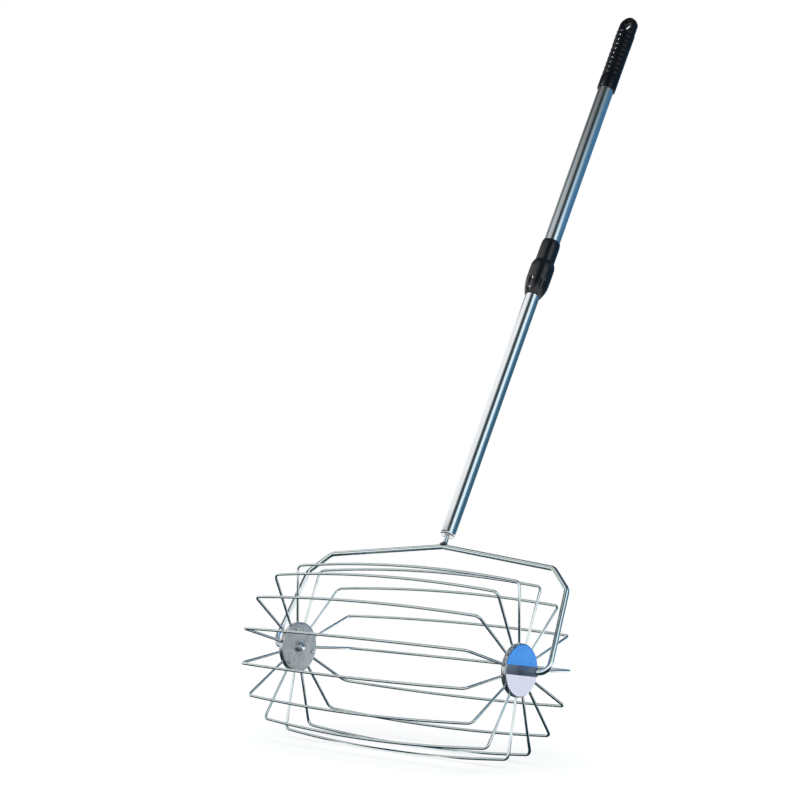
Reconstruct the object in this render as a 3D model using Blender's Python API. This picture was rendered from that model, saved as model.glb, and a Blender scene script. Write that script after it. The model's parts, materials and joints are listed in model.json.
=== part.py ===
"""Roller ball collector: a wire cage that spins in a yoke on a telescopic pole.

The cage's axle lies along X, the pole leans back towards +Y, and the cage stands on
the floor at Z = 0. Lengths are in metres.
"""

import math

import bmesh
import bpy
from mathutils import Matrix, Vector

# Clearances
SEAT_GAP = 0.0003  # between pieces that rest on or in each other
RUN_GAP = 0.0003  # between a shaft and the bore that it turns or slides in
SLOPE_ALLOWANCE = 0.0001  # more across a sloping gap, so that it is a full one

# Cage: wires that run from hub to hub
WIRE_COUNT = 15
WIRE_DIAMETER = 0.004
CAGE_CORNER_RADIUS = 0.120  # from the axle to the wire's centre, at the cage's ends
CAGE_HALF_LENGTH = 0.205  # from the cage's middle to the wire's centre at the corners
CAGE_BOW = 0.0105  # how much further out the wires lie in the middle
WIRE_BEND_RADIUS = 0.008
WIRE_GRIP_LENGTH = 0.014  # length of wire held inside the hub

# Hubs
HUB_DIAMETER = 0.073
HUB_FLOOR = 0.001  # metal outside the wire channels
HUB_COVER_THICKNESS = 0.0015
BADGE_DIAMETER = 0.071
BADGE_THICKNESS = 0.0008
RIVET_COUNT = 3
RIVET_DIAMETER = 0.0032
RIVET_HEAD_DIAMETER = 0.006
RIVET_FACE_DIAMETER = 0.0042  # the flat on top of the head
RIVET_HEAD_HEIGHT = 0.0012
RIVET_HEAD_EDGE = 0.0005  # the head's straight side
RIVET_CIRCLE_RADIUS = 0.029

# Bearings on the yoke's ends
BUSH_WALL = 0.0012
BUSH_COLLAR_LENGTH = 0.025  # the spacer between the badge and the yoke's arm
BUSH_COLLAR_STEP = 0.0013  # how far the collar stands out past the barrel
WASHER_DIAMETER = 0.016
WASHER_THICKNESS = 0.001
CLIP_DIAMETER = 0.0135
CLIP_LENGTH = 0.004
CLIP_TEETH_LENGTH = 0.0012
AXLE_TIP = 0.002  # rod that stands past the clip

# Yoke, in the leaning plane that holds the pole: how far its bends stand past the
# cage's corners sideways, and above them
YOKE_DIAMETER = 0.008
YOKE_LOW_ROOM = 0.0053  # at the axle, past the bush collar and the bend's radius
YOKE_SHOULDER_REACH = 0.0345
YOKE_SHOULDER_RISE = 0.003
YOKE_TOP_REACH = 0.001
YOKE_TOP_RISE = 0.0335
YOKE_PEAK_RISE = 0.046  # above the cage's bars in its middle
YOKE_BEND_RADIUS = 0.014
YOKE_PEAK_BEND_RADIUS = 0.03

# Neck
STUD_DIAMETER = 0.0075
STUD_THREAD_LENGTH = 0.022  # screwed into the plug
NECK_LENGTH = 0.0135  # bare stud between the yoke and the plug
WELD_DIAMETER = 0.014
WELD_HEIGHT = 0.0045  # above the yoke's rod
WELD_FOOT_DIAMETER = 0.0112
WELD_FOOT_DEPTH = 0.0028  # below the top of the yoke's rod
WELD_EDGE_DEPTH = 0.0012  # down to the weld's widest ring
WELD_THROAT = 0.0012  # how far the weld stands out from the stud
WELD_THROAT_HEIGHT = 0.0016
PLUG_LENGTH = 0.026
PLUG_RIM_THICKNESS = 0.0015

# Pole
POLE_LEAN = math.radians(30.0)
LOWER_TUBE_DIAMETER = 0.022
UPPER_TUBE_DIAMETER = 0.025
TUBE_WALL = 0.0008
LOWER_TUBE_LENGTH = 0.497
UPPER_TUBE_LENGTH = 0.427
POLE_OVERLAP = 0.027  # lower tube inside the upper one at full extension
STOP_GROOVE_DEPTH = 0.0004
STOP_GROOVE_WIDTH = 0.0024
GUIDE_LENGTH = 0.012
GUIDE_RIM_THICKNESS = 0.003

# Twist lock
SLEEVE_DIAMETER = 0.0296
SLEEVE_SOCKET_LENGTH = 0.036
SLEEVE_NOSE_LENGTH = 0.011  # the rounding at its top
SLEEVE_NOSE_DEPTH = 0.0015
SPIGOT_DIAMETER = 0.0295
SPIGOT_LENGTH = 0.034
SPIGOT_CHAMFER = 0.0009
SPIGOT_SHOWN = 0.001  # left bare above the collar
COLLAR_DIAMETER = 0.037
COLLAR_END_DIAMETER = 0.0262
COLLAR_LENGTH = 0.0595
COLLAR_LIP = 0.0006
COLLAR_FLARE_LENGTH = 0.0085
COLLAR_SHOULDER_LENGTH = 0.0033  # the flare's last stretch, into the full width
COLLAR_SHOULDER_DEPTH = 0.0008
COLLAR_TAPER_LENGTH = 0.024
COLLAR_FLUTE_COUNT = 6
COLLAR_FLUTE_FLOOR = 0.0156  # the flutes' depth, as a distance from the pole's axis
COLLAR_FLUTE_RADIUS = 0.007
COLLAR_FLUTE_REACH = 0.031  # from the collar's bottom end to the flutes' upper ends
COLLAR_FLUTE_END = 0.012  # length of a flute's round upper end
COLLAR_FLUTE_TURN = math.radians(-25.0)  # where the first flute lies, from the cage's right
CLAMP_RING_DIAMETER = 0.0262
CLAMP_RING_LENGTH = 0.009  # its threaded part, below the wedge
CLAMP_RING_SLOT = 0.003
CLAMP_TRAVEL = 0.0015  # how far the ring backs off in a quarter turn of the collar
WEDGE_LENGTH = 0.007
WEDGE_TIP_WALL = 0.0006
WEDGE_FOOT_WALL = 0.0018

# Grip
GRIP_DIAMETER = 0.0296
GRIP_LENGTH = 0.1419
GRIP_SOCKET_LENGTH = 0.102
GRIP_EDGE = 0.0012  # chamfer at the bottom end
GRIP_HEAD_DIAMETER = 0.0302
GRIP_HEAD_LENGTH = 0.0564  # from the grip's top down to the head's step
GRIP_STEP_LENGTH = 0.0008
GRIP_RIB_COUNT = 9
GRIP_RIB_PITCH = 0.009
GRIP_RIB_DEPTH = 0.0009
GRIP_RIB_START = 0.0265  # from the grip's bottom end
GRIP_RIB_SWEEP = math.radians(80.0)  # each way from the grip's front
HANG_HOLE_DIAMETER = 0.018
HANG_HOLE_INSET = 0.0169  # from the grip's top
HANG_WEB_THICKNESS = 0.012
HANG_FLAT_LENGTH = 0.0309  # down from the grip's top

# Mesh detail
SHARP_ANGLE = math.radians(35.0)
MERGE_DISTANCE = 0.000001
ROUND_SIDES = 32
HUB_SIDES = 3 * WIRE_COUNT
SMALL_SIDES = 12
BUSH_SIDES = 24
COLLAR_SIDES = 48
COLLAR_TAPER_STEPS = 6
COLLAR_FLUTE_END_STEPS = 4
NOSE_STEPS = 3
WIRE_RESOLUTION = 2  # a bevel resolution, which gives 8 sides
YOKE_RESOLUTION = 4  # 12 sides
WIRE_BEND_STEPS = 4
WIRE_BOW_STEPS = 8
YOKE_BEND_STEPS = 5
GRIP_DOME_STEPS = 5

# Finishes: colour, roughness, metallic
BRIGHT_WIRE = ("bright_wire", (0.72, 0.75, 0.78), 0.18, 1.0)
POLISHED_TUBE = ("polished_tube", (0.70, 0.73, 0.76), 0.15, 1.0)
HUB_METAL = ("hub_metal", (0.66, 0.68, 0.70), 0.30, 1.0)
BADGE_BLUE = ("badge_blue", (0.10, 0.36, 0.80), 0.22, 0.2)
BLACK_PLASTIC = ("black_plastic", (0.02, 0.021, 0.023), 0.35, 0.0)
BUSH_PLASTIC = ("bush_plastic", (0.09, 0.11, 0.14), 0.40, 0.0)
GUIDE_PLASTIC = ("guide_plastic", (0.75, 0.75, 0.73), 0.45, 0.0)

# Sizes that follow from the ones above
WIRE_RADIUS = WIRE_DIAMETER / 2
ROD_RADIUS = YOKE_DIAMETER / 2
WIRE_STEP = 2 * math.pi / WIRE_COUNT
CHANNEL_SIZE = WIRE_DIAMETER + 2 * SEAT_GAP
WEDGE_GAP = SEAT_GAP + SLOPE_ALLOWANCE

HUB_BODY_THICKNESS = CHANNEL_SIZE + HUB_FLOOR
HUB_INNER = CAGE_HALF_LENGTH - CHANNEL_SIZE / 2  # the hub body's inner face
HUB_OUTER = HUB_INNER + HUB_BODY_THICKNESS
BADGE_INNER = HUB_OUTER + SEAT_GAP
BADGE_OUTER = BADGE_INNER + BADGE_THICKNESS
COVER_OUTER = HUB_INNER - SEAT_GAP
COVER_INNER = COVER_OUTER - HUB_COVER_THICKNESS
BUSH_BORE_RADIUS = ROD_RADIUS + RUN_GAP
BUSH_RADIUS = BUSH_BORE_RADIUS + BUSH_WALL
HUB_BORE_RADIUS = BUSH_RADIUS + SEAT_GAP
BUSH_INNER = COVER_INNER
BUSH_COLLAR_INNER = BADGE_OUTER + SEAT_GAP
BUSH_COLLAR_OUTER = BUSH_COLLAR_INNER + BUSH_COLLAR_LENGTH
WASHER_OUTER = BUSH_INNER - RUN_GAP
WASHER_INNER = WASHER_OUTER - WASHER_THICKNESS
CLIP_OUTER = WASHER_INNER - SEAT_GAP
CLIP_INNER = CLIP_OUTER - CLIP_LENGTH
AXLE_END = CLIP_INNER - AXLE_TIP
WIRE_END_RADIUS = HUB_DIAMETER / 2 - WIRE_GRIP_LENGTH
YOKE_PEAK_HEIGHT = CAGE_CORNER_RADIUS + CAGE_BOW + YOKE_PEAK_RISE

# Places along the pole, measured from the cage's axle
ROD_TOP = YOKE_PEAK_HEIGHT + ROD_RADIUS
PLUG_BOTTOM = ROD_TOP + NECK_LENGTH
LOWER_TUBE_BOTTOM = PLUG_BOTTOM + PLUG_RIM_THICKNESS + SEAT_GAP
LOWER_TUBE_TOP = LOWER_TUBE_BOTTOM + LOWER_TUBE_LENGTH
UPPER_TUBE_BOTTOM = LOWER_TUBE_TOP - POLE_OVERLAP
UPPER_TUBE_TOP = UPPER_TUBE_BOTTOM + UPPER_TUBE_LENGTH
LOWER_BORE_RADIUS = LOWER_TUBE_DIAMETER / 2 - TUBE_WALL
UPPER_BORE_RADIUS = UPPER_TUBE_DIAMETER / 2 - TUBE_WALL
SLEEVE_TOP = UPPER_TUBE_BOTTOM + SLEEVE_SOCKET_LENGTH
SPIGOT_TOP = UPPER_TUBE_BOTTOM - SEAT_GAP
SPIGOT_BOTTOM = SPIGOT_TOP - SPIGOT_LENGTH
COLLAR_TOP = SPIGOT_TOP - SPIGOT_SHOWN
COLLAR_BOTTOM = COLLAR_TOP - COLLAR_LENGTH
FLUTE_TOP = COLLAR_BOTTOM + COLLAR_FLUTE_REACH
CLAMP_RING_TOP = SPIGOT_BOTTOM - SEAT_GAP
CLAMP_RING_BOTTOM = CLAMP_RING_TOP - CLAMP_RING_LENGTH
GRIP_TOP = UPPER_TUBE_TOP + SEAT_GAP + GRIP_LENGTH - GRIP_SOCKET_LENGTH
GRIP_BOTTOM = GRIP_TOP - GRIP_LENGTH
GRIP_HEAD_BOTTOM = GRIP_TOP - GRIP_HEAD_LENGTH
GRIP_RIBS_BOTTOM = GRIP_BOTTOM + GRIP_RIB_START
HANG_HOLE_PLACE = GRIP_TOP - HANG_HOLE_INSET


def cage_reach():
    """How far the cage reaches down and forward from its axle."""
    bar_radius = CAGE_CORNER_RADIUS + CAGE_BOW
    angles = [number * WIRE_STEP for number in range(WIRE_COUNT)]
    down = max(-math.cos(angle) for angle in angles) * bar_radius + WIRE_RADIUS
    forward = max(math.sin(angle) for angle in angles) * bar_radius + WIRE_RADIUS
    return down, forward


def grip_reach():
    """How far the flattened head of the grip reaches back from the axle."""
    head_radius = GRIP_HEAD_DIAMETER / 2
    half_web = HANG_WEB_THICKNESS / 2
    edge_height = GRIP_TOP - head_radius + math.sqrt(head_radius ** 2 - half_web ** 2)
    return edge_height * math.sin(POLE_LEAN) + half_web * math.cos(POLE_LEAN)


def axle_centre():
    """The cage's centre, with the floor at Z = 0 and the part's middle at Y = 0."""
    down, forward = cage_reach()
    return Vector((0.0, (forward - grip_reach()) / 2, down))


def clear_scene():
    """Remove every object of the open file."""
    for item in list(bpy.data.objects):
        bpy.data.objects.remove(item, do_unlink=True)


def material_for(finish):
    """The Principled material of a finish, made once."""
    name, colour, roughness, metallic = finish
    found = bpy.data.materials.get(name)
    if found:
        return found
    material = bpy.data.materials.new(name)
    material.use_nodes = True
    shader = material.node_tree.nodes["Principled BSDF"]
    shader.inputs["Base Color"].default_value = (*colour, 1.0)
    shader.inputs["Roughness"].default_value = roughness
    shader.inputs["Metallic"].default_value = metallic
    material.diffuse_color = (*colour, 1.0)
    return material


def place(item, parent, matrix):
    """Link an object, parent it and set where it lies under its parent."""
    bpy.context.scene.collection.objects.link(item)
    item.parent = parent
    item.matrix_basis = matrix
    return item


def finished_mesh(name, shape, finish):
    """Turn a bmesh into an object's mesh, with faces out and round sides smooth."""
    bmesh.ops.remove_doubles(shape, verts=shape.verts, dist=MERGE_DISTANCE)
    bmesh.ops.recalc_face_normals(shape, faces=shape.faces)
    mesh = bpy.data.meshes.new(name)
    shape.to_mesh(mesh)
    shape.free()
    mesh.shade_smooth()
    mesh.set_sharp_from_angle(angle=SHARP_ANGLE)
    mesh.materials.append(material_for(finish))
    return bpy.data.objects.new(name, mesh)


def turned(name, outline, finish, sides=ROUND_SIDES, closed=True):
    """A turned piece: an outline of (radius, height) points, spun about local Z.

    An outline that starts and ends on the axis isn't closed.
    """
    shape = bmesh.new()
    corners = [shape.verts.new((radius, 0.0, height)) for radius, height in outline]
    ends = corners[1:] + corners[:1] if closed else corners[1:]
    edges = [shape.edges.new(pair) for pair in zip(corners, ends)]
    bmesh.ops.spin(
        shape, geom=corners + edges, cent=(0, 0, 0), axis=(0, 0, 1),
        angle=2 * math.pi, steps=sides, use_merge=True,
    )
    return finished_mesh(name, shape, finish)


def tube_outline(inner, outer, low, high):
    """The outline of a plain ring or tube."""
    return [(inner, low), (outer, low), (outer, high), (inner, high)]


def rounded_path(points, radii, steps):
    """A path through points in one plane, with an arc of its own radius at each corner."""
    path = [Vector(points[0])]
    for before, corner, after, radius in zip(points, points[1:], points[2:], radii):
        corner = Vector(corner)
        to_before = (Vector(before) - corner).normalized()
        to_after = (Vector(after) - corner).normalized()
        half_angle = to_before.angle(to_after) / 2
        if radius == 0.0:
            path.append(corner)
            continue
        centre_way = (to_before + to_after).normalized()
        centre = corner + centre_way * (radius / math.sin(half_angle))
        start = corner + to_before * (radius / math.tan(half_angle))
        turn_axis = to_before.cross(to_after)
        sweep = math.pi - 2 * half_angle
        for step in range(steps + 1):
            turn = Matrix.Rotation(-sweep * step / steps, 3, turn_axis)
            path.append(centre + turn @ (start - centre))
    path.append(Vector(points[-1]))
    return path


def rod_curve(name, path, radius, resolution, finish):
    """Curve data of a round rod with flat ends along a path."""
    curve = bpy.data.curves.new(name, "CURVE")
    curve.dimensions = "3D"
    curve.bevel_depth = radius
    curve.bevel_resolution = resolution
    curve.use_fill_caps = True
    spline = curve.splines.new("POLY")
    spline.points.add(len(path) - 1)
    for point, place_on_path in zip(spline.points, path):
        point.co = (*place_on_path, 1.0)
    spline.use_smooth = True
    curve.materials.append(material_for(finish))
    return curve


def solid_of_curve(name, curve):
    """A mesh object with the shape of a rod's curve."""
    carrier = bpy.data.objects.new(f"{name}_path", curve)
    shape = bmesh.new()
    shape.from_mesh(bpy.data.meshes.new_from_object(carrier))
    bpy.data.objects.remove(carrier)
    return finished_mesh(name, shape, BRIGHT_WIRE)


def cutter(item):
    """Mark an object as a tool that isn't part of the model."""
    item.hide_render = True
    item.display_type = "WIRE"
    return item


def cut(item, tool, name="cut"):
    """Cut a tool out of an object."""
    boolean = item.modifiers.new(name, "BOOLEAN")
    boolean.operation = "DIFFERENCE"
    boolean.solver = "EXACT"
    boolean.object = cutter(tool)
    return boolean


def joined_boxes(name, boxes):
    """One cutter made of boxes, each (matrix, size)."""
    shape = bmesh.new()
    for matrix, size in boxes:
        scale = Matrix.Diagonal((*size, 1.0))
        bmesh.ops.create_cube(shape, size=1.0, matrix=matrix @ scale)
    return finished_mesh(name, shape, BUSH_PLASTIC)


def joined_pins(name, places, radius, length, sides):
    """One cutter made of round pins along local Z, centred at places."""
    shape = bmesh.new()
    for spot in places:
        bmesh.ops.create_cone(
            shape, cap_ends=True, segments=sides, radius1=radius, radius2=radius,
            depth=length, matrix=Matrix.Translation(spot),
        )
    return finished_mesh(name, shape, BUSH_PLASTIC)


def bow_radius(across):
    """The radius of the wire's centre at a distance from the cage's middle."""
    share = across / CAGE_HALF_LENGTH
    return CAGE_CORNER_RADIUS + CAGE_BOW * (1 - share * share)


def wire_path():
    """The C that one wire makes, in local XZ with the axle along X."""
    steps = range(1, WIRE_BOW_STEPS)
    bar = [CAGE_HALF_LENGTH * (2 * step / WIRE_BOW_STEPS - 1) for step in steps]
    points = [(-CAGE_HALF_LENGTH, 0.0, WIRE_END_RADIUS)]
    points.append((-CAGE_HALF_LENGTH, 0.0, CAGE_CORNER_RADIUS))
    points += [(across, 0.0, bow_radius(across)) for across in bar]
    points.append((CAGE_HALF_LENGTH, 0.0, CAGE_CORNER_RADIUS))
    points.append((CAGE_HALF_LENGTH, 0.0, WIRE_END_RADIUS))
    radii = [WIRE_BEND_RADIUS] + [0.0] * len(bar) + [WIRE_BEND_RADIUS]
    return rounded_path(points, radii, WIRE_BEND_STEPS)


def make_cage_wires(spin_axis):
    """The cage's wires, evenly spread round the axle with the first at the top."""
    curve = rod_curve("cage_wire", wire_path(), WIRE_RADIUS, WIRE_RESOLUTION, BRIGHT_WIRE)
    for number in range(WIRE_COUNT):
        wire = bpy.data.objects.new(f"cage_wire_{number + 1:02d}", curve)
        place(wire, spin_axis, Matrix.Rotation(-number * WIRE_STEP, 4, "X"))


def end_frame(side):
    """Local Z points out along the axle at one end, and local X stays up."""
    outward = Vector((side, 0.0, 0.0))
    up = Vector((0.0, 0.0, 1.0))
    across = outward.cross(up)
    frame = Matrix((up, across, outward)).transposed()
    return frame.to_4x4()


def make_hub(spin_axis, side, label):
    """Hub body, inner plate, rivets, badge and bush at one end of the cage."""
    frame = end_frame(side)
    rim = HUB_DIAMETER / 2

    body = turned(
        f"hub_body_{label}", tube_outline(HUB_BORE_RADIUS, rim, HUB_INNER, HUB_OUTER),
        HUB_METAL, HUB_SIDES,
    )
    plate = turned(
        f"hub_inner_plate_{label}",
        tube_outline(HUB_BORE_RADIUS, rim, COVER_INNER, COVER_OUTER), HUB_METAL, HUB_SIDES,
    )
    badge = turned(
        f"hub_badge_{label}",
        tube_outline(HUB_BORE_RADIUS, BADGE_DIAMETER / 2, BADGE_INNER, BADGE_OUTER),
        BADGE_BLUE, HUB_SIDES,
    )
    for piece in (body, plate, badge):
        place(piece, spin_axis, frame)

    channel_start = WIRE_END_RADIUS - SEAT_GAP
    channel_length = rim - channel_start + WIRE_RADIUS
    channel_middle = channel_start + channel_length / 2
    channel_depth = CHANNEL_SIZE + WIRE_RADIUS
    channel_centre = HUB_INNER + CHANNEL_SIZE - channel_depth / 2
    channels = []
    for number in range(WIRE_COUNT):
        turn = Matrix.Rotation(number * WIRE_STEP, 4, "Z")
        shift = Matrix.Translation((channel_middle, 0.0, channel_centre))
        channels.append((turn @ shift, (channel_length, CHANNEL_SIZE, channel_depth)))
    cut(body, place(joined_boxes(f"channels_{label}", channels), spin_axis, frame))

    rivet_step = 2 * math.pi / RIVET_COUNT
    rivet_angles = [side * (WIRE_STEP / 2 + rivet_step * step) for step in range(RIVET_COUNT)]
    rivet_spots = [
        Vector((math.cos(angle), math.sin(angle), 0.0)) * RIVET_CIRCLE_RADIUS
        for angle in rivet_angles
    ]
    middle = Vector((0.0, 0.0, (COVER_INNER + HUB_OUTER) / 2))
    holes = joined_pins(
        f"rivet_holes_{label}", [spot + middle for spot in rivet_spots],
        RIVET_DIAMETER / 2 + SEAT_GAP, 2 * (HUB_OUTER - COVER_INNER), SMALL_SIDES,
    )
    place(holes, spin_axis, frame)
    cut(body, holes, "rivet_holes")
    cut(plate, holes, "rivet_holes")
    for number, spot in enumerate(rivet_spots):
        rivet_name = f"hub_rivet_{label}_{number + 1}"
        rivet = turned(rivet_name, rivet_outline(), HUB_METAL, SMALL_SIDES, closed=False)
        place(rivet, spin_axis, frame @ Matrix.Translation(spot))

    collar_radius = BUSH_RADIUS + BUSH_COLLAR_STEP
    bush = turned(f"hub_bush_{label}", [
        (BUSH_BORE_RADIUS, BUSH_INNER),
        (BUSH_RADIUS, BUSH_INNER),
        (BUSH_RADIUS, BUSH_COLLAR_INNER),
        (collar_radius, BUSH_COLLAR_INNER),
        (collar_radius, BUSH_COLLAR_OUTER - BUSH_WALL),
        (collar_radius - BUSH_WALL / 2, BUSH_COLLAR_OUTER),
        (BUSH_BORE_RADIUS, BUSH_COLLAR_OUTER),
    ], BUSH_PLASTIC, BUSH_SIDES)
    place(bush, spin_axis, frame)


def rivet_outline():
    """A rivet's shank through both plates, with its head inside the cage."""
    head_radius = RIVET_HEAD_DIAMETER / 2
    shank_radius = RIVET_DIAMETER / 2
    head_top = COVER_INNER - SEAT_GAP
    head_low = head_top - RIVET_HEAD_HEIGHT
    return [
        (0.0, head_low),
        (RIVET_FACE_DIAMETER / 2, head_low),
        (head_radius, head_top - RIVET_HEAD_EDGE),
        (head_radius, head_top),
        (shank_radius, head_top),
        (shank_radius, HUB_OUTER),
        (0.0, HUB_OUTER),
    ]


def make_axle_fittings(yoke_frame, side, label):
    """The washer and the push-on clip on one end of the yoke's rod."""
    frame = end_frame(side)
    washer = turned(
        f"axle_washer_{label}",
        tube_outline(ROD_RADIUS + SEAT_GAP, WASHER_DIAMETER / 2, WASHER_INNER, WASHER_OUTER),
        HUB_METAL, BUSH_SIDES,
    )
    clip_radius = CLIP_DIAMETER / 2
    teeth_top = CLIP_OUTER - CLIP_TEETH_LENGTH
    clip = turned(f"axle_clip_{label}", [
        (ROD_RADIUS + SEAT_GAP, CLIP_INNER),
        (clip_radius - CLIP_TEETH_LENGTH, CLIP_INNER),
        (clip_radius, CLIP_INNER + CLIP_TEETH_LENGTH),
        (clip_radius, CLIP_OUTER),
        (clip_radius - CLIP_TEETH_LENGTH, CLIP_OUTER),
        (clip_radius - CLIP_TEETH_LENGTH, teeth_top),
        (ROD_RADIUS + SEAT_GAP, teeth_top),
    ], HUB_METAL, BUSH_SIDES)
    place(washer, yoke_frame, frame)
    place(clip, yoke_frame, frame)


def yoke_path():
    """The yoke's bends from one axle end over the peak to the other, in local XZ."""
    side = CAGE_HALF_LENGTH
    corner = CAGE_CORNER_RADIUS
    half = [
        (AXLE_END, 0.0, 0.0),
        (BUSH_COLLAR_OUTER + YOKE_LOW_ROOM + YOKE_BEND_RADIUS, 0.0, 0.0),
        (side + YOKE_SHOULDER_REACH, 0.0, corner + YOKE_SHOULDER_RISE),
        (side + YOKE_TOP_REACH, 0.0, corner + YOKE_TOP_RISE),
    ]
    points = half + [(0.0, 0.0, YOKE_PEAK_HEIGHT)]
    points += [(-across, 0.0, height) for across, _, height in reversed(half)]
    side_radii = [YOKE_BEND_RADIUS] * (len(half) - 1)
    return rounded_path(points, side_radii + [YOKE_PEAK_BEND_RADIUS] + side_radii, YOKE_BEND_STEPS)


def make_yoke(yoke_frame):
    """The bent rod that holds the cage, whose ends are the cage's axles."""
    curve = rod_curve("yoke", yoke_path(), ROD_RADIUS, YOKE_RESOLUTION, BRIGHT_WIRE)
    place(bpy.data.objects.new("yoke", curve), yoke_frame, Matrix())


def make_neck(yoke_frame):
    """The stud that is welded on the yoke's peak, and the plug that it screws into."""
    weld_foot = ROD_TOP - WELD_FOOT_DEPTH
    stud_top = PLUG_BOTTOM + STUD_THREAD_LENGTH
    stud_radius = STUD_DIAMETER / 2
    stud = turned("neck_stud", [
        (0.0, weld_foot),
        (WELD_FOOT_DIAMETER / 2, weld_foot),
        (WELD_DIAMETER / 2, ROD_TOP - WELD_EDGE_DEPTH),
        (stud_radius + WELD_THROAT, ROD_TOP + WELD_THROAT_HEIGHT),
        (stud_radius, ROD_TOP + WELD_HEIGHT),
        (stud_radius, stud_top),
        (0.0, stud_top),
    ], BRIGHT_WIRE, BUSH_SIDES, closed=False)
    place(stud, yoke_frame, Matrix())
    rod = rod_curve("saddle", yoke_path(), ROD_RADIUS + SEAT_GAP, YOKE_RESOLUTION, BRIGHT_WIRE)
    saddle = solid_of_curve("saddle", rod)
    cut(stud, place(saddle, yoke_frame, Matrix()))

    rim_radius = LOWER_TUBE_DIAMETER / 2 - SEAT_GAP
    core_radius = LOWER_BORE_RADIUS - SEAT_GAP
    thread_radius = stud_radius + SEAT_GAP
    plug = turned("tube_plug", [
        (thread_radius, PLUG_BOTTOM),
        (rim_radius, PLUG_BOTTOM),
        (rim_radius, PLUG_BOTTOM + PLUG_RIM_THICKNESS),
        (core_radius, PLUG_BOTTOM + PLUG_RIM_THICKNESS),
        (core_radius, PLUG_BOTTOM + PLUG_LENGTH),
        (thread_radius, PLUG_BOTTOM + PLUG_LENGTH),
    ], HUB_METAL)
    place(plug, yoke_frame, Matrix())


def make_lower_tube(yoke_frame):
    """The inner tube and the plug on its top end."""
    outer = LOWER_TUBE_DIAMETER / 2
    tube = turned(
        "lower_tube", tube_outline(LOWER_BORE_RADIUS, outer, LOWER_TUBE_BOTTOM, LOWER_TUBE_TOP),
        POLISHED_TUBE,
    )
    rim_low = LOWER_TUBE_TOP + SEAT_GAP
    rim_high = rim_low + GUIDE_RIM_THICKNESS
    stem_radius = LOWER_BORE_RADIUS - SEAT_GAP
    guide = turned("guide_plug", [
        (0.0, LOWER_TUBE_TOP - GUIDE_LENGTH),
        (stem_radius, LOWER_TUBE_TOP - GUIDE_LENGTH),
        (stem_radius, rim_low),
        (UPPER_BORE_RADIUS - RUN_GAP, rim_low),
        (UPPER_BORE_RADIUS - RUN_GAP, rim_high),
        (0.0, rim_high),
    ], GUIDE_PLASTIC, closed=False)
    place(tube, yoke_frame, Matrix())
    place(guide, yoke_frame, Matrix())


def make_upper_tube(pole_frame):
    """The outer tube, with a rolled groove that stops the guide plug."""
    outer = UPPER_TUBE_DIAMETER / 2
    inner = UPPER_BORE_RADIUS
    groove_top = LOWER_TUBE_TOP
    groove_middle = groove_top - STOP_GROOVE_WIDTH / 2
    groove_low = groove_top - STOP_GROOVE_WIDTH
    tube = turned("upper_tube", [
        (inner, UPPER_TUBE_BOTTOM),
        (outer, UPPER_TUBE_BOTTOM),
        (outer, groove_low),
        (outer - STOP_GROOVE_DEPTH, groove_middle),
        (outer, groove_top),
        (outer, UPPER_TUBE_TOP),
        (inner, UPPER_TUBE_TOP),
        (inner, groove_top),
        (inner - STOP_GROOVE_DEPTH, groove_middle),
        (inner, groove_low),
    ], POLISHED_TUBE)
    place(tube, pole_frame, Matrix())


def sleeve_nose():
    """Radius and height of the lock sleeve's rounded top, from its side to its rim."""
    points = []
    for step in range(NOSE_STEPS + 1):
        angle = math.pi / 2 * step / NOSE_STEPS
        radius = SLEEVE_DIAMETER / 2 - SLEEVE_NOSE_DEPTH * (1 - math.cos(angle))
        points.append((radius, SLEEVE_TOP - SLEEVE_NOSE_LENGTH * (1 - math.sin(angle))))
    return points


def make_lock(pole_frame):
    """The twist lock: sleeve on the upper tube, collar over its spigot, ring inside."""
    socket_radius = UPPER_TUBE_DIAMETER / 2 + SEAT_GAP
    spigot_radius = SPIGOT_DIAMETER / 2
    slide_bore = LOWER_TUBE_DIAMETER / 2 + RUN_GAP
    mouth_top = SPIGOT_BOTTOM + WEDGE_LENGTH + RUN_GAP
    outline = [
        (slide_bore, mouth_top),
        (slide_bore + WEDGE_TIP_WALL + WEDGE_GAP, mouth_top),
        (slide_bore + WEDGE_FOOT_WALL + WEDGE_GAP, SPIGOT_BOTTOM),
        (spigot_radius - SPIGOT_CHAMFER, SPIGOT_BOTTOM),
        (spigot_radius, SPIGOT_BOTTOM + SPIGOT_CHAMFER),
        (spigot_radius, SPIGOT_TOP - SPIGOT_CHAMFER),
        (SLEEVE_DIAMETER / 2, SPIGOT_TOP),
    ]
    outline += sleeve_nose()
    outline += [
        (socket_radius, SLEEVE_TOP),
        (socket_radius, SPIGOT_TOP),
        (slide_bore, SPIGOT_TOP),
    ]
    place(turned("lock_sleeve", outline, BLACK_PLASTIC), pole_frame, Matrix())

    ring_radius = CLAMP_RING_DIAMETER / 2
    wedge_tip = SPIGOT_BOTTOM + WEDGE_LENGTH
    ring = turned("clamp_ring", [
        (slide_bore, CLAMP_RING_BOTTOM),
        (ring_radius, CLAMP_RING_BOTTOM),
        (ring_radius, CLAMP_RING_TOP),
        (slide_bore + WEDGE_FOOT_WALL, CLAMP_RING_TOP),
        (slide_bore + WEDGE_TIP_WALL, wedge_tip),
        (slide_bore, wedge_tip),
    ], GUIDE_PLASTIC)
    place(ring, pole_frame, Matrix())
    slot_place = Matrix.Translation((0.0, ring_radius, CLAMP_RING_TOP))
    slot_length = 2 * (CLAMP_RING_LENGTH + WEDGE_LENGTH)
    slot_size = (CLAMP_RING_SLOT, 2 * ring_radius, slot_length)
    slot = joined_boxes("clamp_ring_slot", [(slot_place, slot_size)])
    cut(ring, place(slot, pole_frame, Matrix()))
    place(make_collar(), pole_frame, Matrix())


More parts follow.
